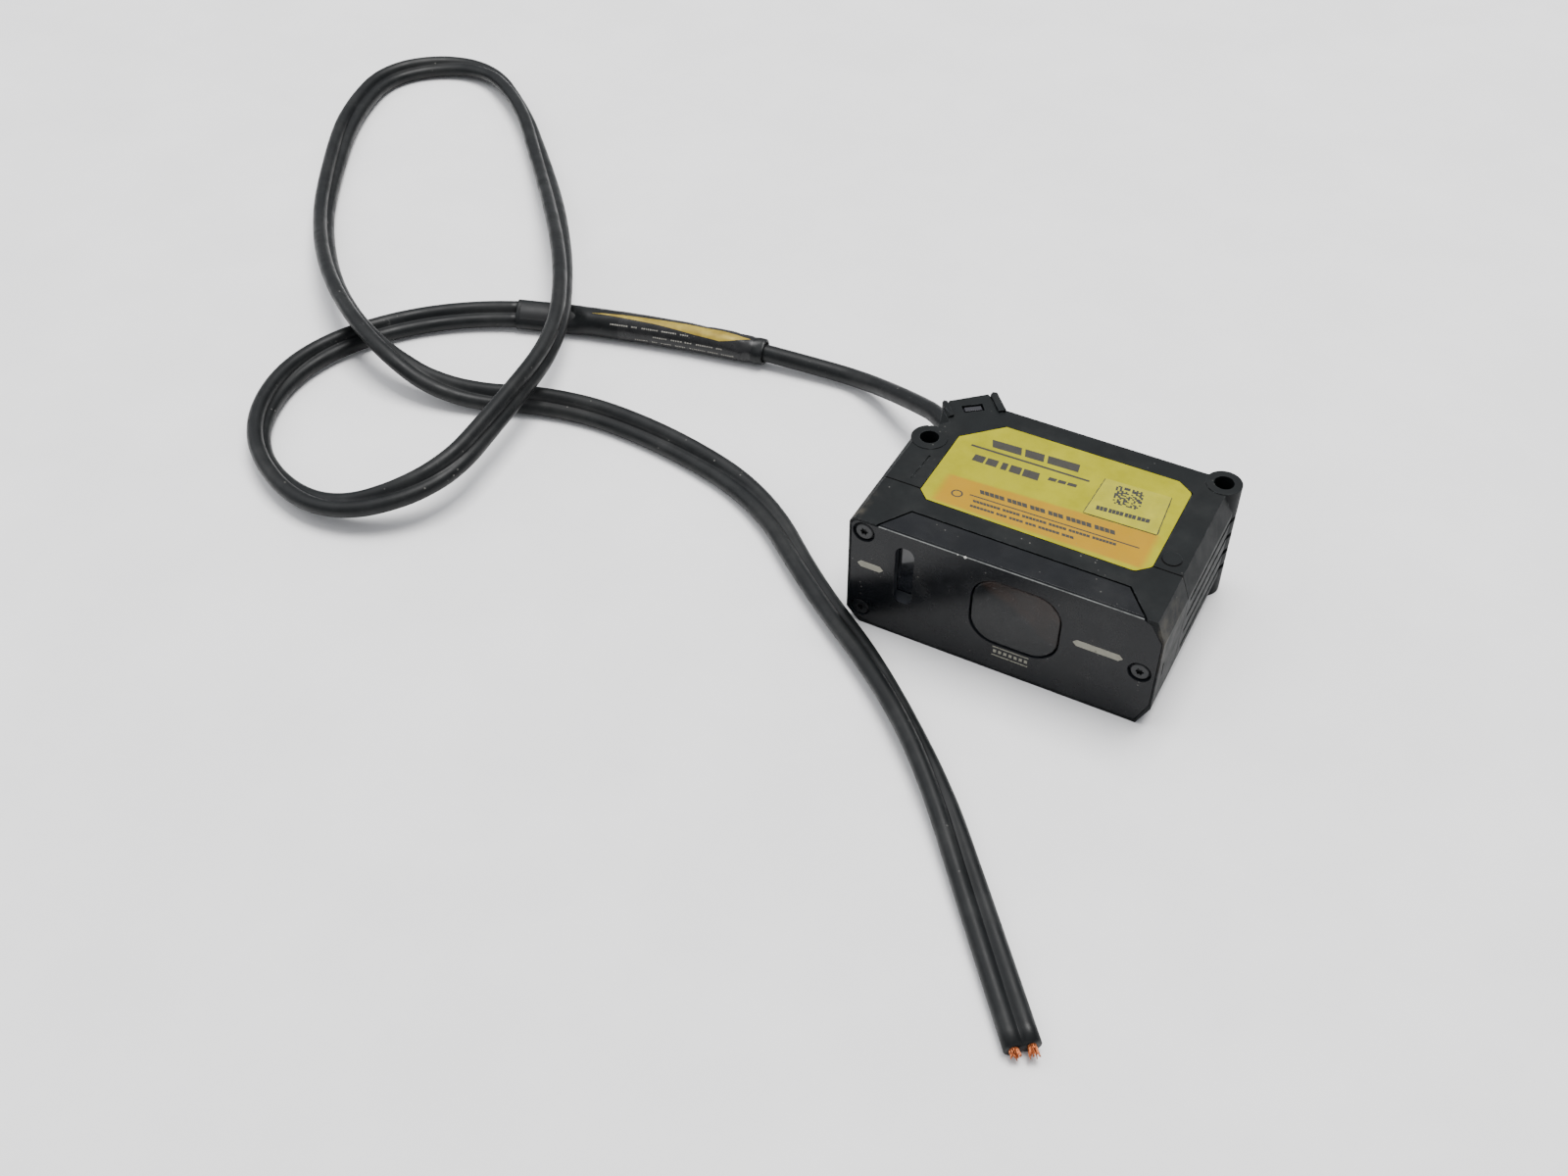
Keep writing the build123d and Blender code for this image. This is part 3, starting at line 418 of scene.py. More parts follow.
# turned-in mouths so that the tube has a wall
for end, i, ds in ((0, 0, 1.0), (1, NS, -1.4)):
    base = len(verts)
    s = SLEEVE_LEN * i / NS
    for j in range(NR):
        a = 2 * math.pi * j / NR
        verts.append(sleeve_vert(min(SLEEVE_LEN - 0.05, max(0.05, s + ds * 0.1)), a, -0.32))
    for j in range(NR):
        a = 2 * math.pi * j / NR
        verts.append(sleeve_vert(s + ds, a, -0.36))
    for j in range(NR):
        k = (j + 1) % NR
        if end == 0:
            faces.append((i * NR + j, i * NR + k, base + k, base + j))
            faces.append((base + j, base + k, base + NR + k, base + NR + j))
        else:
            faces.append((i * NR + k, i * NR + j, base + j, base + k))
            faces.append((base + k, base + j, base + NR + j, base + NR + k))
sleeve = mesh_object("splice_sleeve_tube", verts, faces)
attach(sleeve, "root")
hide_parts("splice_sleeve")


def wrap(name, outline_lo, outline_hi, s0, s1, grow, nseg=90, na=14):
    """A thin skin on the sleeve between two angles given along its length."""
    vs, fs = [], []
    for i in range(nseg + 1):
        s = s0 + (s1 - s0) * i / nseg
        lo, hi = outline_lo(s), outline_hi(s)
        for j in range(na + 1):
            a = lo + (hi - lo) * j / na
            vs.append(sleeve_vert(s, a, grow))
    for i in range(nseg):
        for j in range(na):
            a = i * (na + 1) + j
            fs.append((a, a + na + 1, a + na + 2, a + 1))
    o = mesh_object(name, vs, fs)
    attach(o, "root")
    return o


def lerp_table(table, s):
    """Degrees at s from rows of (mm from the cable end, degrees), as radians."""
    if s <= table[0][0]:
        return math.radians(table[0][1])
    for (a, u), (b, v) in zip(table, table[1:]):
        if s <= b:
            return math.radians(u + (v - u) * (s - a) / (b - a))
    return math.radians(table[-1][1])


BLACK_LO = [(2.4, 92), (4, 66), (30, 60), (31.2, 64)]
BLACK_HI = [(2.4, 200), (4, 232), (30, 236), (31.2, 230)]
GOLD_LO = [(3.2, 96), (4.9, 91), (9.3, 84), (14.8, 86), (22.7, 91), (30.5, 96), (37.2, 104)]
GOLD_HI = [(3.2, 98), (4.9, 109), (7.4, 128), (9.3, 137), (14.8, 131), (22.7, 117), (30.5, 110), (37.2, 104.6)]
sleeve_film = wrap("sleeve_label_film", lambda s: lerp_table(BLACK_LO, s), lambda s: lerp_table(BLACK_HI, s), 2.4, 31.2, 0.014, 130, 34)
sleeve_gold = wrap("sleeve_label_gold", lambda s: lerp_table(GOLD_LO, s), lambda s: lerp_table(GOLD_HI, s), 3.2, 37.2, 0.03, 150, 12)
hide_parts("sleeve_label")
dash_rng = random.Random(3)
verts, faces = [], []
for a0, s_lo, s_hi, h in ((143, 16, 30.2, 5.4), (171, 8.5, 22.5, 6.0), (71, 13, 30, 4.2), (196, 6, 28, 5.5)):
    s = s_lo
    while s < s_hi:
        for k in range(dash_rng.randint(3, 8)):
            b = len(verts)
            e = s + dash_rng.uniform(0.22, 0.4)
            shift = 0.25 * (s_hi - s) / (s_hi - s_lo)
            for ss, da in ((s, -h / 2), (e, -h / 2), (e, h / 2), (s, h / 2)):
                verts.append(sleeve_vert(ss, math.radians(a0 + da - 10 * shift), 0.034))
            faces.append((b, b + 1, b + 2, b + 3))
            s = e + 0.16
        s += dash_rng.uniform(0.4, 0.9)
sleeve_dashes = mesh_object("sleeve_label_dashes", verts, faces)
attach(sleeve_dashes, "root")

# ------------------------------------------------------------------ cut end of the flat cable
p_end = twin_path[-1]
t_end = (twin_path[-1] - twin_path[-3]).normalized()
s_end = t_end.cross(Vector((0, 0, 1))).normalized()
u_end = s_end.cross(t_end).normalized()
ang_end = tilt(twin_len / MM)
strand_rng = random.Random(23)
verts, faces = [], []
NW = 7
for core in (-1, 1):
    cx0 = core * LOBE_C
    spots = [(0.0, 0.0)]
    for ring_n, ring_r in ((6, 0.2), (12, 0.4), (17, 0.6)):
        spots += [(ring_r * math.cos(2 * math.pi * k / ring_n + ring_r), ring_r * math.sin(2 * math.pi * k / ring_n + ring_r)) for k in range(ring_n)]
    for sx, sy in spots:
        out = strand_rng.uniform(0.5, 1.5) if core == 1 else strand_rng.uniform(0.7, 1.9)
        bx, by = strand_rng.uniform(-0.22, 0.22), strand_rng.uniform(-0.16, 0.2)
        base = len(verts)
        steps = [-1.6, -0.5, 0.1, 0.45 * out, 0.8 * out, out]
        for k, d in enumerate(steps):
            g = max(0.0, d) / max(out, 0.1)
            ox_, oy_ = cx0 + sx * (1 + 0.10 * g) + bx * g * g, sy * (1 + 0.10 * g) + by * g * g
            ca, sa = math.cos(ang_end), math.sin(ang_end)
            xx, yy = ox_ * ca - oy_ * sa, ox_ * sa + oy_ * ca
            rad = 0.098 if k < len(steps) - 1 else 0.07
            for j in range(NW):
                a = 2 * math.pi * j / NW
                verts.append(p_end + t_end * (d * MM) + s_end * ((xx + rad * math.cos(a)) * MM) + u_end * ((yy + rad * math.sin(a)) * MM))
        for k in range(len(steps) - 1):
            for j in range(NW):
                a, b = base + k * NW + j, base + k * NW + (j + 1) % NW
                faces.append((a, b, b + NW, a + NW))
        faces.append(tuple(base + (len(steps) - 1) * NW + j for j in range(NW)))
strands = mesh_object("copper_strand_bundle", verts, faces)
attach(strands, "root")
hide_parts("copper_strands")


# ------------------------------------------------------------------ printed marks
class Print:
    """Flat printed shapes a hair above a surface, gathered into one mesh."""

    def __init__(self):
        self.v, self.f = [], []

    def poly(self, pts):
        b = len(self.v)
        self.v += pts
        self.f.append(tuple(range(b, b + len(pts))))

    def strip(self, quad, u0, u1, v0=0.0, v1=1.0, at=None):
        """Part of a quad whose corners go top left, top right, bottom right, bottom left."""
        a, b, c, d = quad

        def pt(u, v):
            x = (a[0] * (1 - u) + b[0] * u) * (1 - v) + (d[0] * (1 - u) + c[0] * u) * v
            y = (a[1] * (1 - u) + b[1] * u) * (1 - v) + (d[1] * (1 - u) + c[1] * u) * v
            return at(x, y)
        self.poly([pt(u0, v1), pt(u1, v1), pt(u1, v0), pt(u0, v0)])

    def done(self, name, slot):
        o = mesh_object(name, self.v, self.f, smooth=False)
        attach(o, "root")
        return o


def top(x, y):
    return V(x, y, H + 0.006)


def on_sticker(x, y):
    return V(x, y, H + 0.096)


ink_rng = random.Random(41)


def row(pr, quad, cell, gap, at, lo=1, hi=4, v0=0.0, v1=1.0):
    """A row of plain blocks of uneven length, in place of a line of print."""
    width = math.hypot(quad[1][0] - quad[0][0], quad[1][1] - quad[0][1])
    x = 0.0
    while x < width - cell * 0.6:
        w = min(width - x, cell * ink_rng.randint(lo, hi))
        n = max(1, round(w / cell))
        for k in range(n):
            c0 = x + k * (w / n)
            inset = 0.1 * cell if k < n - 1 else 0.0
            pr.strip(quad, c0 / width, (c0 + w / n - inset) / width, v0 + 0.0, v1, at)
        x += w + gap


ink = Print()
# two solid bars and a rule where the head's name and number would be
brand = ((13.0, 29.2), (28.8, 29.9), (29.2, 27.6), (13.9, 27.05))
for k, (a, b) in enumerate(((0.0, 0.34), (0.38, 0.6), (0.64, 1.0))):
    ink.strip(brand, a, b, 0.06, 0.94, top)
model = ((12.0, 24.2), (23.6, 24.6), (23.95, 22.45), (12.0, 22.3))
for a, b in ((0.0, 0.17), (0.2, 0.37), (0.43, 0.52), (0.56, 0.73), (0.76, 1.0)):
    ink.strip(model, a, b, 0.04, 0.96, top)
small = ((25.4, 24.6), (30.2, 24.9), (30.3, 23.0), (25.2, 22.5))
for a, b in ((0.0, 0.28), (0.34, 0.62), (0.68, 1.0)):
    ink.strip(small, a, b, 0.1, 0.52, top)
ink.strip(((10.4, 26.3), (31.7, 26.7), (31.7, 26.22), (10.4, 25.82)), 0, 1, at=top)
ink.strip(((15.3, 14.14), (44.6, 14.84), (44.6, 14.56), (15.3, 13.86)), 0, 1, at=top)
row(ink, ((16.2, 16.1), (39.6, 17.0), (40.2, 15.55), (16.9, 14.75)), 0.86, 0.55, top, 2, 6, 0.12, 0.8)
row(ink, ((16.2, 13.25), (40.9, 14.2), (41.1, 13.25), (16.6, 12.35)), 0.6, 0.42, top, 3, 8, 0.14, 0.78)
row(ink, ((16.3, 11.95), (34.2, 12.5), (34.6, 11.5), (16.5, 11.05)), 0.6, 0.42, top, 3, 7, 0.16, 0.76)
# a plain ring beside the lines
for k in range(40):
    a, b = 2 * math.pi * k / 40, 2 * math.pi * (k + 1) / 40
    ink.poly([top(13.3 + r * math.cos(t), 13.3 + r * 0.9 * math.sin(t)) for r, t in ((0.72, a), (1.02, a), (1.02, b), (0.72, b))])
# thin dark strips on the label along three edges of the small sticker
edge_rng = random.Random(9)
corners = [(33.9, 28.4), (33.6, 18.6), (46.0, 19.0), (45.2, 28.9)]
for (ax, ay), (bx, by), out in zip(corners[:-1], corners[1:], ((-1, 0), (0, -1), (1, 0))):
    n = 16
    prev = None
    for k in range(n + 1):
        t = k / n
        w = 0.13 + 0.1 * edge_rng.random()
        px, py = ax + (bx - ax) * t, ay + (by - ay) * t
        pair = (top(px, py), top(px + out[0] * w, py + out[1] * w))
        if prev:
            quad = [prev[0], prev[1], pair[1], pair[0]]
            ink.poly(quad)
        prev = pair
label_print = ink.done("label_print", "label")

tag = Print()
code = ((36.1, 27.6), (40.9, 27.9), (41.6, 23.2), (36.9, 23.0))
N = 14
code_rng = random.Random(77)
for i in range(N):
    j = 0
    while j < N:
        run = 0
        while j + run < N and code_rng.random() < 0.56:
            run += 1
        if run:
            tag.strip(code, j / N, (j + run) / N, i / N, (i + 1) / N, on_sticker)
        j += run + 1
row(tag, ((34.9, 21.4), (43.9, 22.1), (44.0, 20.9), (35.1, 20.1)), 0.62, 0.25, on_sticker, 2, 5, 0.1, 0.9)
sticker_print = tag.done("sticker_print", "sticker")


def front(x, z, d=0.012):
    return V(x, -d, z)


marks = Print()


def hexagon(x0, x1, z, h):
    """Long filled hexagon on the front."""
    marks.poly([front(x0, z), front(x0 + h / 2, z - h / 2), front(x1 - h / 2, z - h / 2), front(x1, z), front(x1 - h / 2, z + h / 2), front(x0 + h / 2, z + h / 2)])


hexagon(1.7, 6.5, 13.6, 1.35)
hexagon(40.1, 48.6, 13.0, 1.35)
# short dashes between two rules, below the receiver window
for k in range(7):
    x0 = 27.1 + k * 0.92
    marks.poly([front(x0, 4.3), front(x0 + 0.55, 4.3), front(x0 + 0.55, 4.95), front(x0, 4.95)])
for zz in (5.45, 3.55):
    marks.poly([front(26.9, zz), front(33.3, zz), front(33.3, zz + 0.22), front(26.9, zz + 0.22)])
panel_marks = marks.done("panel_marks", "panel")

# ------------------------------------------------------------------ materials
MATS = {}


def dust(g, colour, amount=0.4, scale=900.0, tint=None):
    """Sparse pale specks and a thin uneven film over a colour."""
    tint = tint or rgb(150, 148, 142)
    cell = g.voronoi(scale)
    speck = g.ramp(cell, (0.08, 0.16, 1, 0))
    gate = g.ramp(g.noise(scale * 0.21, 3, 0.6), (0.56, 0.66, 0, 1))
    film = g.ramp(g.noise(95, 6, 0.62), (0.42, 0.78, 0, 0.05 * amount))
    f = g.math("MULTIPLY_ADD", g.math("MULTIPLY", speck, gate), 0.55 * amount, film, clamp=True)
    return g.mix(f, colour, tint)


def grain(m_name, base, rough, fine=3200, fine_h=0.00001, wave=160, specks=0.4, edge=None, rough_var=0.08, spec=0.45, tint=None, bevel=0.00012):
    m, nt, b = material(m_name)
    g = G(nt)
    var = g.noise(240, 5, 0.6)
    col = g.mix(g.ramp(var, (0.3, 0.75, 0, 1)), tuple(c * 0.86 for c in base[:3]) + (1,), tuple(min(1, c * 1.16) for c in base[:3]) + (1,))
    if specks:
        col = dust(g, col, specks, tint=tint)
    if edge is not None:
        col = g.mix(g.math("MULTIPLY", g.wear(0.00022, 0.86, 0.97), g.ramp(g.noise(700, 4, 0.7), (0.42, 0.66, 0, 0.75))), col, edge)
    g.put(b.inputs["Base Color"], col)
    g.put(b.inputs["Roughness"], g.ramp(g.noise(320, 5, 0.6), (0.25, 0.8, rough - rough_var, rough + rough_var)))
    b.inputs["Specular IOR Level"].default_value = spec
    bev = g.bevel(bevel) if bevel else None
    h = g.noise(fine, 3, 0.5)
    n = g.bump(h, 0.55, fine_h, bev)
    n = g.bump(g.noise(wave, 3, 0.5), 0.35, 0.00004, n)
    g.put(b.inputs["Normal"], n)
    MATS[m_name] = m
    return m, g, b


m, g, b = grain("case", rgb(16, 19, 20), 0.6, spec=0.12, fine=4200, fine_h=0.000012, specks=0.55, edge=rgb(80, 82, 84), rough_var=0.06, bevel=0.00016)
x, y, z = g.xyz()
old = b.inputs["Base Color"].links[0].from_socket


def edge_distance(p, q):
    """Distance outside the line from p to q, seen from above; the body is on its left."""
    dx, dy = q[0] - p[0], q[1] - p[1]
    n = math.hypot(dx, dy)
    a, c = dy / n, -dx / n
    return g.math("MULTIPLY_ADD", x, a, g.math("MULTIPLY_ADD", y, c, -(a * p[0] + c * p[1])))


# painted shade in the joint between the front frame and the housing, along the top and the sides
line = g.ramp(g.math("ABSOLUTE", g.math("SUBTRACT", y, 11.675)), (0.13, 0.24, 1, 0))
# painted shade in the groove around the lip of the front panel
lip_d = g.math("MAXIMUM", g.math("MAXIMUM", edge_distance((8.7, 5.5), (5.2, 0.0)), edge_distance((46.3, 5.4), (8.7, 5.5))), edge_distance((50.7, 0.0), (46.3, 5.4)))
groove = g.math("MULTIPLY", g.ramp(lip_d, (0.16, 0.3, 1, 0)), g.ramp(z, (22.9, 23.1, 0, 1)))
# painted shadow on the front half of the raised round mark
r2 = g.math("SQRT", g.math("ADD", g.math("POWER", g.math("SUBTRACT", x, 50.1), 2.0), g.math("POWER", g.math("SUBTRACT", y, 14.7), 2.0)))
ring = g.math("MULTIPLY", g.ramp(g.math("ABSOLUTE", g.math("SUBTRACT", r2, 1.68)), (0.08, 0.2, 1, 0)), g.ramp(y, (14.2, 15.2, 1, 0)))
ring = g.math("MULTIPLY", ring, g.ramp(z, (23.0, 23.1, 0, 1)))
line = g.math("MAXIMUM", g.math("MAXIMUM", line, groove), ring)
# rubbed, dusty patches on the front left edge and on the frame's right-hand facet
left_rub = g.math("MULTIPLY", g.ramp(g.math("ADD", x, g.math("SUBTRACT", 23.3, z)), (0.9, 2.4, 1, 0)), g.ramp(y, (2.0, 10.5, 1, 0)))
right_rub = g.math("MULTIPLY", g.math("MULTIPLY", g.ramp(x, (52.9, 53.5, 0, 1)), g.ramp(z, (11.0, 18.0, 0, 1))), g.ramp(y, (3.0, 12.0, 1, 0)))
rub = g.math("MULTIPLY", g.math("MAXIMUM", left_rub, g.math("MULTIPLY", right_rub, 0.8)), g.ramp(g.noise(260, 6, 0.7), (0.42, 0.66, 0, 0.75)))
col = g.mix(rub, old, rgb(72, 68, 60))
# the joint, the lip groove and the round mark's front arc are painted near-black here as shade
g.put(b.inputs["Base Color"], g.mix(g.math("MULTIPLY", line, 0.92), col, rgb(2, 2, 2)))
m, g, b = grain("panel", rgb(15, 17, 20), 0.26, fine=2600, fine_h=0.000003, wave=110, specks=0.45, rough_var=0.05, spec=0.2, bevel=0.0001)
x, y, z = g.xyz()
old = b.inputs["Base Color"].links[0].from_socket
# pale line painted along the front edge of the lip, a painted highlight with wear, and the lip's moulded top
# painted highlight: a pale line on the lip's front edge, broken up by noise like wear
lip_highlight_and_wear = g.math("MULTIPLY", g.ramp(z, (22.84, 22.93, 0, 1)), g.ramp(y, (0.07, 0.16, 1, 0)))
lip_highlight_and_wear = g.math("MULTIPLY", lip_highlight_and_wear, g.ramp(g.noise(420, 4, 0.65), (0.3, 0.55, 0.45, 1)))
col = g.mix(g.math("MULTIPLY", lip_highlight_and_wear, 0.8), old, rgb(128, 130, 128))
# the walls behind the face are duller than the polished face
inner = g.math("MULTIPLY", g.ramp(y, (0.03, 0.09, 0, 1)), g.ramp(z, (22.3, 22.6, 1, 0)))
g.put(b.inputs["Roughness"], g.math("MULTIPLY_ADD", inner, 0.3, b.inputs["Roughness"].links[0].from_socket))
col = g.mix(inner, col, rgb(31, 34, 38))
# two small near-white spots on that edge: painted glints
for cx, cr in ((20.6, 0.34), (19.3, 0.16)):
    d = g.math("ADD", g.math("ABSOLUTE", g.math("SUBTRACT", x, cx)), g.math("ADD", g.math("ABSOLUTE", y), g.math("ABSOLUTE", g.math("SUBTRACT", z, 22.9))))
    col = g.mix(g.ramp(d, (cr * 0.8, cr * 1.2, 0.95, 0)), col, rgb(205, 205, 198))
g.put(b.inputs["Base Color"], col)
grain("seal", rgb(24, 25, 26), 0.62, specks=0.5)
grain("black_steel", rgb(22, 24, 26), 0.42, fine=5200, specks=0.3, edge=rgb(60, 60, 62), spec=0.35)
grain("rubber_black", rgb(30, 31, 32), 0.55, specks=0.6)
grain("chip", rgb(38, 38, 40), 0.5, specks=0.2)
grain("connector", rgb(205, 200, 186), 0.45, specks=0.0)
grain("wire_jacket", rgb(160, 60, 40), 0.4, specks=0.2)
grain("dark_lens", rgb(36, 36, 40), 0.2, specks=0.3, fine_h=0.000002)
grain("circuit_board", rgb(20, 92, 50), 0.32, specks=0.0, fine=900)
grain("led", rgb(222, 226, 214), 0.3, specks=0.0)


def metal(name, base, rough, stretch=(1, 1, 30), scale=260, metallic=1.0, specks=0.1):
    m, nt, b = material(name)
    g = G(nt)
    mp = nt.nodes.new("ShaderNodeMapping")
    mp.inputs["Scale"].default_value = stretch
    nt.links.new(g.coord.outputs["Object"], mp.inputs[0])
    br = g.noise(scale, 6, 0.65, vec=mp.outputs[0])
    col = g.mix(g.ramp(br, (0.3, 0.7, 0, 1)), tuple(c * 0.82 for c in base[:3]) + (1,), base)
    g.put(b.inputs["Base Color"], col)
    b.inputs["Metallic"].default_value = metallic
    g.put(b.inputs["Roughness"], g.ramp(br, (0.25, 0.75, rough - 0.08, rough + 0.1)))
    g.put(b.inputs["Normal"], g.bump(br, 0.3, 0.00001, g.bevel(0.00008)))
    MATS[name] = m
    return m, g, b


metal("cast_alloy", rgb(176, 178, 180), 0.5, (1, 1, 1), 900)
metal("steel", rgb(186, 186, 184), 0.3)
metal("gold", rgb(224, 178, 84), 0.28)
metal("black_alloy", rgb(44, 45, 47), 0.42)
metal("copper", rgb(196, 116, 74), 0.36, (1, 1, 1), 1500)


# label: yellow sheet with an orange band across it, dust and ink specks
m, nt, b = material("label")
g = G(nt)
x, y, z = g.xyz()
base = g.mix(g.ramp(g.noise(150, 6, 0.6), (0.3, 0.72, 0, 1)), rgb(136, 132, 2), rgb(152, 148, 5))
# lower and upper edges of the band, wavering a little, with ends that fade away
wob = g.math("MULTIPLY_ADD", g.noise(260, 4, 0.6), 0.5, -0.25)
lo = g.math("ADD", g.ramp(g.math("SUBTRACT", y, g.math("MULTIPLY_ADD", x, 0.006, 9.95)), (-0.3, 0.5, 0, 1)), 0.0)
hi_line = g.math("MULTIPLY_ADD", x, 0.048, 16.85)
hi = g.ramp(g.math("ADD", g.math("SUBTRACT", hi_line, y), wob), (-0.35, 0.5, 0, 1))
left = g.ramp(g.math("ADD", x, wob), (9.2, 11.2, 0, 1))
rgt = g.ramp(g.math("ADD", x, wob), (45.6, 47.4, 1, 0))
band = g.math("MULTIPLY", g.math("MULTIPLY", lo, hi), g.math("MULTIPLY", left, rgt))
band = g.math("MULTIPLY", band, g.ramp(g.noise(420, 5, 0.65), (0.2, 0.5, 0.86, 1)))
col = g.mix(band, base, g.mix(g.ramp(g.noise(210, 4, 0.6), (0.35, 0.7, 0, 1)), rgb(154, 116, 0), rgb(158, 120, 0)))
speck = g.math("MULTIPLY", g.ramp(g.voronoi(1500), (0.1, 0.22, 1, 0)), g.ramp(g.noise(520, 3, 0.6), (0.5, 0.64, 0, 1)))
col = g.mix(g.math("MULTIPLY", speck, 0.6), col, rgb(128, 116, 56))
grey = g.ramp(g.noise(75, 5, 0.6), (0.5, 0.8, 0, 0.3))
col = g.mix(grey, col, rgb(112, 104, 28))
# painted shade: the label's sides below its top face are darkened to near-black, standing in for the dark gap around
# it
col = g.mix(g.ramp(z, (23.235, 23.255, 1, 0)), col, rgb(22, 21, 14))
b.inputs["Specular IOR Level"].default_value = 0.2
g.put(b.inputs["Base Color"], col)
g.put(b.inputs["Roughness"], g.ramp(g.noise(300, 4, 0.6), (0.3, 0.8, 0.34, 0.5)))
g.put(b.inputs["Normal"], g.bump(g.noise(1200, 3, 0.5), 0.35, 0.000012, g.bump(g.noise(90, 2, 0.5), 0.3, 0.00005)))
MATS["label"] = m

# sticker: paler, glossier film
m, nt, b = material("sticker")
g = G(nt)
col = g.mix(g.ramp(g.noise(300, 6, 0.65), (0.3, 0.75, 0, 1)), rgb(144, 140, 8), rgb(160, 155, 14))
speck = g.math("MULTIPLY", g.ramp(g.voronoi(1700), (0.1, 0.24, 1, 0)), g.ramp(g.noise(620, 3, 0.6), (0.5, 0.62, 0, 1)))
col = g.mix(g.math("MULTIPLY", speck, 0.55), col, rgb(120, 112, 60))
g.put(b.inputs["Base Color"], col)
g.put(b.inputs["Roughness"], g.ramp(g.noise(260, 4, 0.6), (0.3, 0.8, 0.26, 0.4)))
g.put(b.inputs["Normal"], g.bump(g.noise(160, 3, 0.5), 0.4, 0.00005))
MATS["sticker"] = m


def printed(name, base, wear_lo, wear_hi, under=None, scale=1500):
    """Ink with grains rubbed away."""
    m, nt, b = material(name)
    g = G(nt)
    w = g.ramp(g.noise(scale, 5, 0.7), (wear_lo, wear_hi, 0, 1))
    g.put(b.inputs["Base Color"], g.mix(g.ramp(g.noise(500, 3, 0.5), (0.3, 0.7, 0, 1)), tuple(c * 0.9 for c in base[:3]) + (1,), base))
    g.put(b.inputs["Roughness"], g.ramp(g.noise(900, 3, 0.5), (0.3, 0.7, 0.42, 0.58)))
    g.put(b.inputs["Alpha"], g.math("SUBTRACT", 1.0, w))
    return m


ink_mat = printed("ink", rgb(30, 27, 15), 0.58, 0.84)
code_mat = printed("code_ink", rgb(22, 21, 14), 0.64, 0.86)
mark_mat = printed("mark_ink", rgb(132, 130, 116), 0.56, 0.76, scale=900)

# receiver window: smoked, finely speckled, with a brownish painted reflection over its upper right part
m, nt, b = material("smoked_glass")
g = G(nt)
x, y, z = g.xyz()
b.inputs["Transmission Weight"].default_value = 0.35
b.inputs["IOR"].default_value = 1.5
b.inputs["Specular IOR Level"].default_value = 0.11
col = g.mix(g.ramp(g.noise(140, 4, 0.6), (0.3, 0.75, 0, 1)), rgb(20, 23, 25), rgb(32, 34, 36))
# painted reflection: a brownish patch over the window's upper right part
painted_reflection = g.math("ADD", g.math("MULTIPLY", g.math("SUBTRACT", x, 22.2), 0.5), g.math("MULTIPLY", g.math("SUBTRACT", z, 6.0), 0.85))
painted_reflection = g.math("MULTIPLY", g.ramp(g.math("ADD", painted_reflection, g.math("MULTIPLY", g.noise(260, 4, 0.6), 2.0)), (11.5, 13.2, 0, 1)), 0.75)
col = g.mix(painted_reflection, col, g.mix(g.ramp(g.noise(200, 4, 0.6), (0.35, 0.65, 0, 1)), rgb(38, 34, 32), rgb(56, 43, 37)))
speck = g.math("MULTIPLY", g.ramp(g.voronoi(1900), (0.1, 0.3, 1, 0)), g.ramp(g.noise(560, 3, 0.6), (0.42, 0.56, 0, 1)))
col = g.mix(g.math("MULTIPLY", speck, 0.55), col, rgb(88, 88, 90))
g.put(b.inputs["Base Color"], col)
g.put(b.inputs["Roughness"], g.ramp(g.noise(240, 4, 0.6), (0.3, 0.8, 0.14, 0.3)))
g.put(b.inputs["Normal"], g.bump(g.noise(60, 2, 0.5), 0.25, 0.00004, g.bevel(0.0003)))
MATS["smoked_glass"] = m

m, nt, b = material("dark_glass")
g = G(nt)
col = dust(g, g.mix(g.ramp(g.noise(180, 4, 0.6), (0.3, 0.75, 0, 1)), rgb(14, 16, 20), rgb(24, 27, 33)), 0.3)
g.put(b.inputs["Base Color"], col)
g.put(b.inputs["Roughness"], g.ramp(g.noise(240, 4, 0.6), (0.3, 0.8, 0.08, 0.22)))
b.inputs["Coat Weight"].default_value = 0.3
g.put(b.inputs["Normal"], g.bump(g.noise(80, 2, 0.5), 0.2, 0.00003))
MATS["dark_glass"] = m

m, nt, b = material("clear_glass")
g = G(nt)
b.inputs["Transmission Weight"].default_value = 1.0
b.inputs["IOR"].default_value = 1.52
g.put(b.inputs["Base Color"], g.mix(g.ramp(g.noise(120, 3, 0.5), (0.3, 0.7, 0, 1)), (0.92, 0.96, 0.95, 1), (0.98, 0.99, 1, 1)))
g.put(b.inputs["Roughness"], g.ramp(g.noise(500, 3, 0.5), (0.3, 0.8, 0.02, 0.06)))
MATS["clear_glass"] = m


def jacket(name, base, rough, specks=0.6, fine=2600, fine_h=0.000016, spec=0.4):
    """Rubbery jacket: drawn lines along it are too fine to see, so mottling, dust and small scuffs."""
    m, nt, b = material(name)
    g = G(nt)
    col = g.mix(g.ramp(g.noise(190, 5, 0.6), (0.3, 0.75, 0, 1)), tuple(c * 0.84 for c in base[:3]) + (1,), tuple(min(1, c * 1.25) for c in base[:3]) + (1,))
    col = dust(g, col, specks, scale=700)
    scuff = g.math("MULTIPLY", g.ramp(g.noise(620, 6, 0.75, dist=1.2), (0.62, 0.72, 0, 1)), g.ramp(g.noise(60, 3, 0.5), (0.48, 0.66, 0, 0.5)))
    col = g.mix(scuff, col, rgb(110, 110, 108))
    g.put(b.inputs["Base Color"], col)
    b.inputs["Specular IOR Level"].default_value = spec
    g.put(b.inputs["Roughness"], g.ramp(g.noise(260, 5, 0.6), (0.3, 0.8, rough - 0.08, rough + 0.1)))
    g.put(b.inputs["Normal"], g.bump(g.noise(fine, 3, 0.5), 0.45, fine_h, g.bump(g.noise(150, 3, 0.5), 0.35, 0.00008)))
    MATS[name] = m
    return m, g, b


jacket("cable_jacket", rgb(16, 18, 19), 0.46, spec=0.22)
jacket("heat_shrink", rgb(15, 17, 18), 0.38, specks=0.35, fine_h=0.000008, spec=0.22)


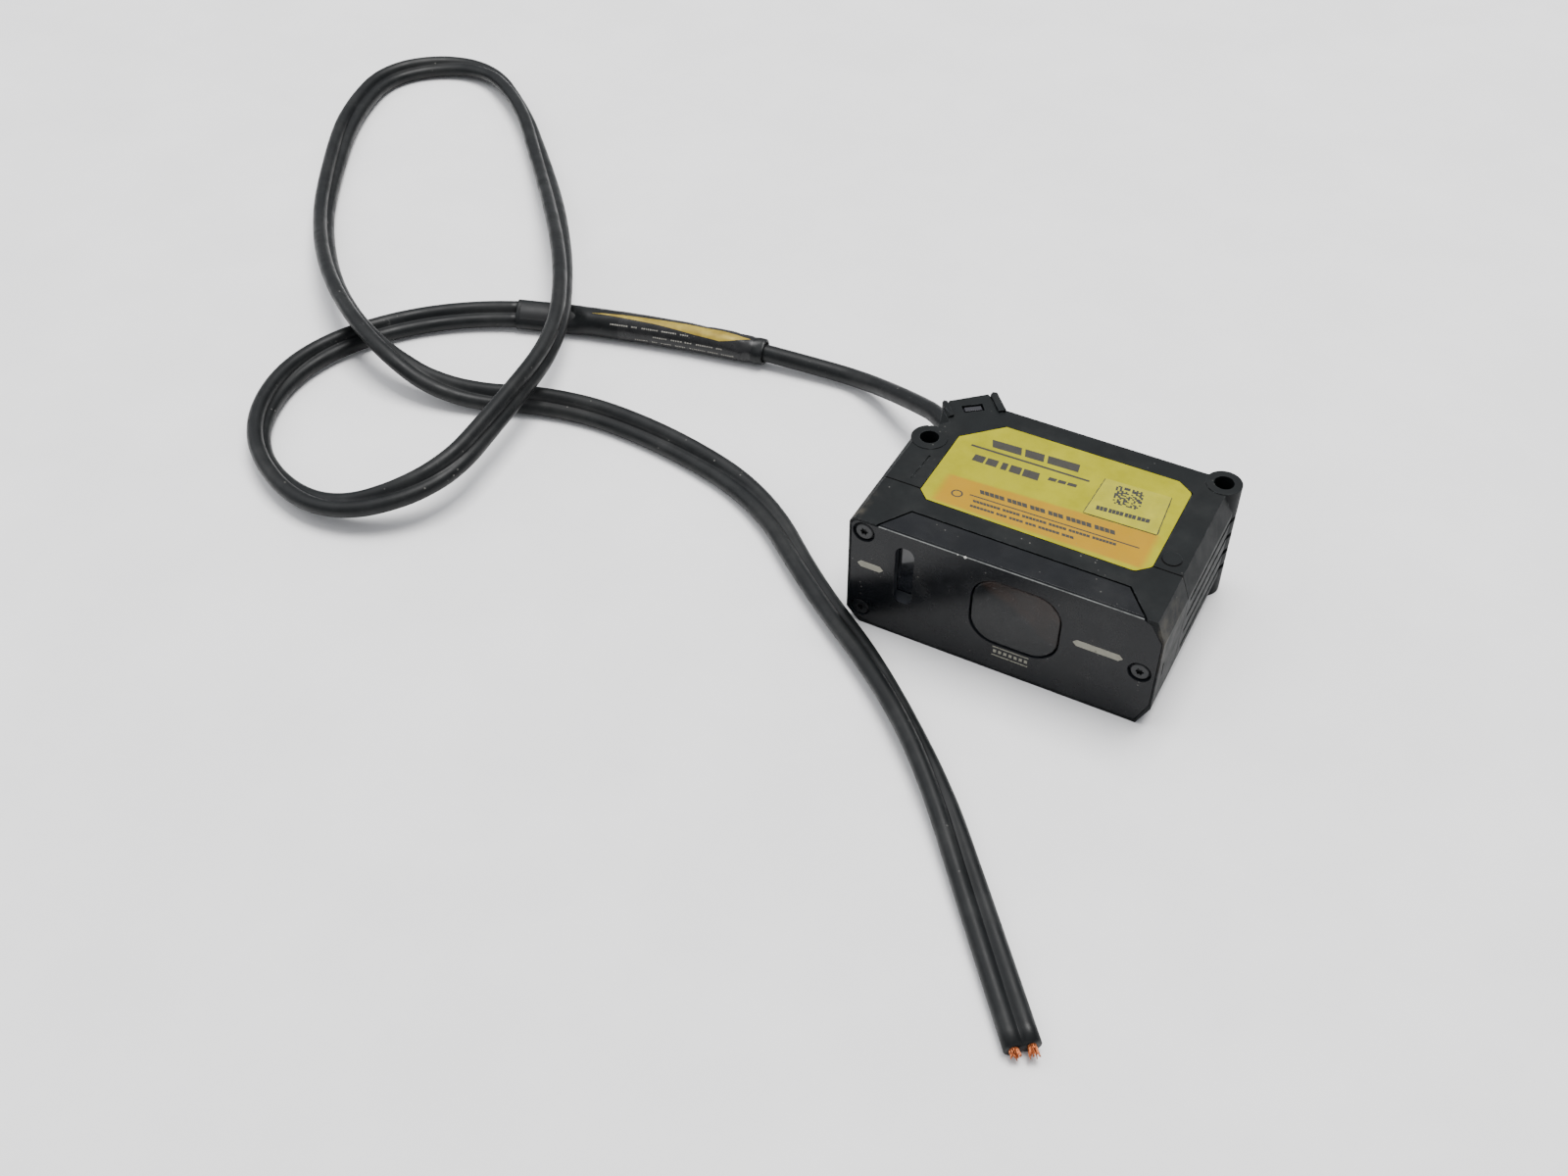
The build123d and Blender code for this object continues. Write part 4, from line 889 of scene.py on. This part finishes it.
# printed skin on the sleeve: a gold field and plain bars
def skin_material(name, c1, c2, rough, metallic):
    m, nt, b = material(name)
    g = G(nt)
    col = g.mix(g.ramp(g.noise(420, 5, 0.6), (0.3, 0.75, 0, 1)), c1, c2)
    col = dust(g, col, 0.3, scale=1100)
    g.put(b.inputs["Base Color"], col)
    b.inputs["Metallic"].default_value = metallic
    b.inputs["Specular IOR Level"].default_value = 0.25
    g.put(b.inputs["Roughness"], g.ramp(g.noise(500, 4, 0.6), (0.3, 0.8, rough - 0.06, rough + 0.08)))
    g.put(b.inputs["Normal"], g.bump(g.noise(900, 3, 0.5), 0.4, 0.00001))
    return m


gold_skin = skin_material("sleeve_gold", rgb(128, 108, 34), rgb(160, 140, 54), 0.4, 0.1)
black_skin = skin_material("sleeve_black", rgb(24, 25, 26), rgb(34, 34, 35), 0.3, 0.0)
grey_skin = skin_material("sleeve_grey", rgb(120, 118, 112), rgb(150, 148, 140), 0.42, 0.0)
MATS["cable_label"] = black_skin


def paint(o, m):
    o.data.materials.clear()
    o.data.materials.append(m)


SLOT_OF = {
    "case": "main_housing front_frame bottom_cover", "panel": "front_panel",
    "seal": "body_seal panel_seal receiver_seal cover_seal splice_core", "smoked_glass": "receiver_window",
    "dark_glass": "emitter_window", "black_steel": "front_screws cover_screws", "label": "label_plate",
    "sticker": "serial_sticker", "cast_alloy": "optical_base", "steel": "base_screws sensor_board_screws board_screws cable_stop",
    "gold": "laser_diode", "circuit_board": "laser_board sensor_board main_board",
    "clear_glass": "collimator_lens receiver_lens rear_lens", "black_alloy": "laser_holder lens_barrel lens_ring light_baffle",
    "chip": "image_sensor board_parts", "connector": "board_connector", "led": "indicator_led", "dark_lens": "indicator_lens",
    "rubber_black": "strain_relief", "wire_jacket": "cable_wires", "heat_shrink": "splice_sleeve", "cable_label": "sleeve_label",
    "cable_jacket": "sensor_cable twin_cable", "copper": "copper_strands",
}
done = set()
for slot_name, names in SLOT_OF.items():
    for n in names.split():
        paint(nodes[n], MATS[slot_name])
        done.add(n)
left_over = sorted(set(nodes) - done)
if left_over:
    raise RuntimeError("no material for " + ", ".join(left_over))
paint(twin_cable, MATS["cable_jacket"])
paint(sensor_cable, MATS["cable_jacket"])
paint(sleeve, MATS["heat_shrink"])
paint(strands, MATS["copper"])
paint(sleeve_film, black_skin)
paint(sleeve_gold, gold_skin)
paint(sleeve_dashes, grey_skin)
paint(label_print, ink_mat)
paint(sticker_print, code_mat)
paint(panel_marks, mark_mat)

# ------------------------------------------------------------------ floor and light
m, nt, b = material("floor")
g = G(nt)
col = g.mix(g.ramp(g.noise(34, 6, 0.6), (0.3, 0.72, 0, 1)), rgb(232, 232, 232), rgb(238, 238, 238))
g.put(b.inputs["Base Color"], col)
b.inputs["Roughness"].default_value = 0.85
b.inputs["Specular IOR Level"].default_value = 0.15
bpy.ops.mesh.primitive_plane_add(size=6, location=(0, 0, 0))
floor = bpy.context.object
floor.name = "floor"
paint(floor, m)


def area(name, loc, target, size, power, colour=(1, 1, 1), size_y=None):
    d = bpy.data.lights.new(name, "AREA")
    d.energy = power
    d.color = colour
    d.size = size
    if size_y:
        d.shape = "RECTANGLE"
        d.size_y = size_y
    o = link(name, d)
    o.location = loc
    o.rotation_euler = (Vector(target) - Vector(loc)).to_track_quat("-Z", "Y").to_euler()
    return o


area("key", (0.05, 0.28, 1.5), (0, 0, 0), 0.85, 40, (1.0, 0.99, 0.98))
area("fill", (-1.0, -0.2, 0.9), (0, 0, 0), 1.2, 6, (0.97, 0.98, 1.0))
w = bpy.data.worlds.new("world")
bpy.context.scene.world = w
w.use_nodes = True
g = G(w.node_tree)
sky = w.node_tree.nodes.new("ShaderNodeSeparateXYZ")
w.node_tree.links.new(g.coord.outputs["Generated"], sky.inputs[0])
glow = g.math("MULTIPLY", g.ramp(sky.outputs[2], (0.0, 0.75, 0, 1)), g.ramp(sky.outputs[0], (-0.1, 0.8, 1, 0.45)))
g.put(w.node_tree.nodes["Background"].inputs[0], g.mix(glow, (0.22, 0.23, 0.25, 1), (0.97, 0.98, 1.02, 1)))
w.node_tree.nodes["Background"].inputs[1].default_value = 0.95
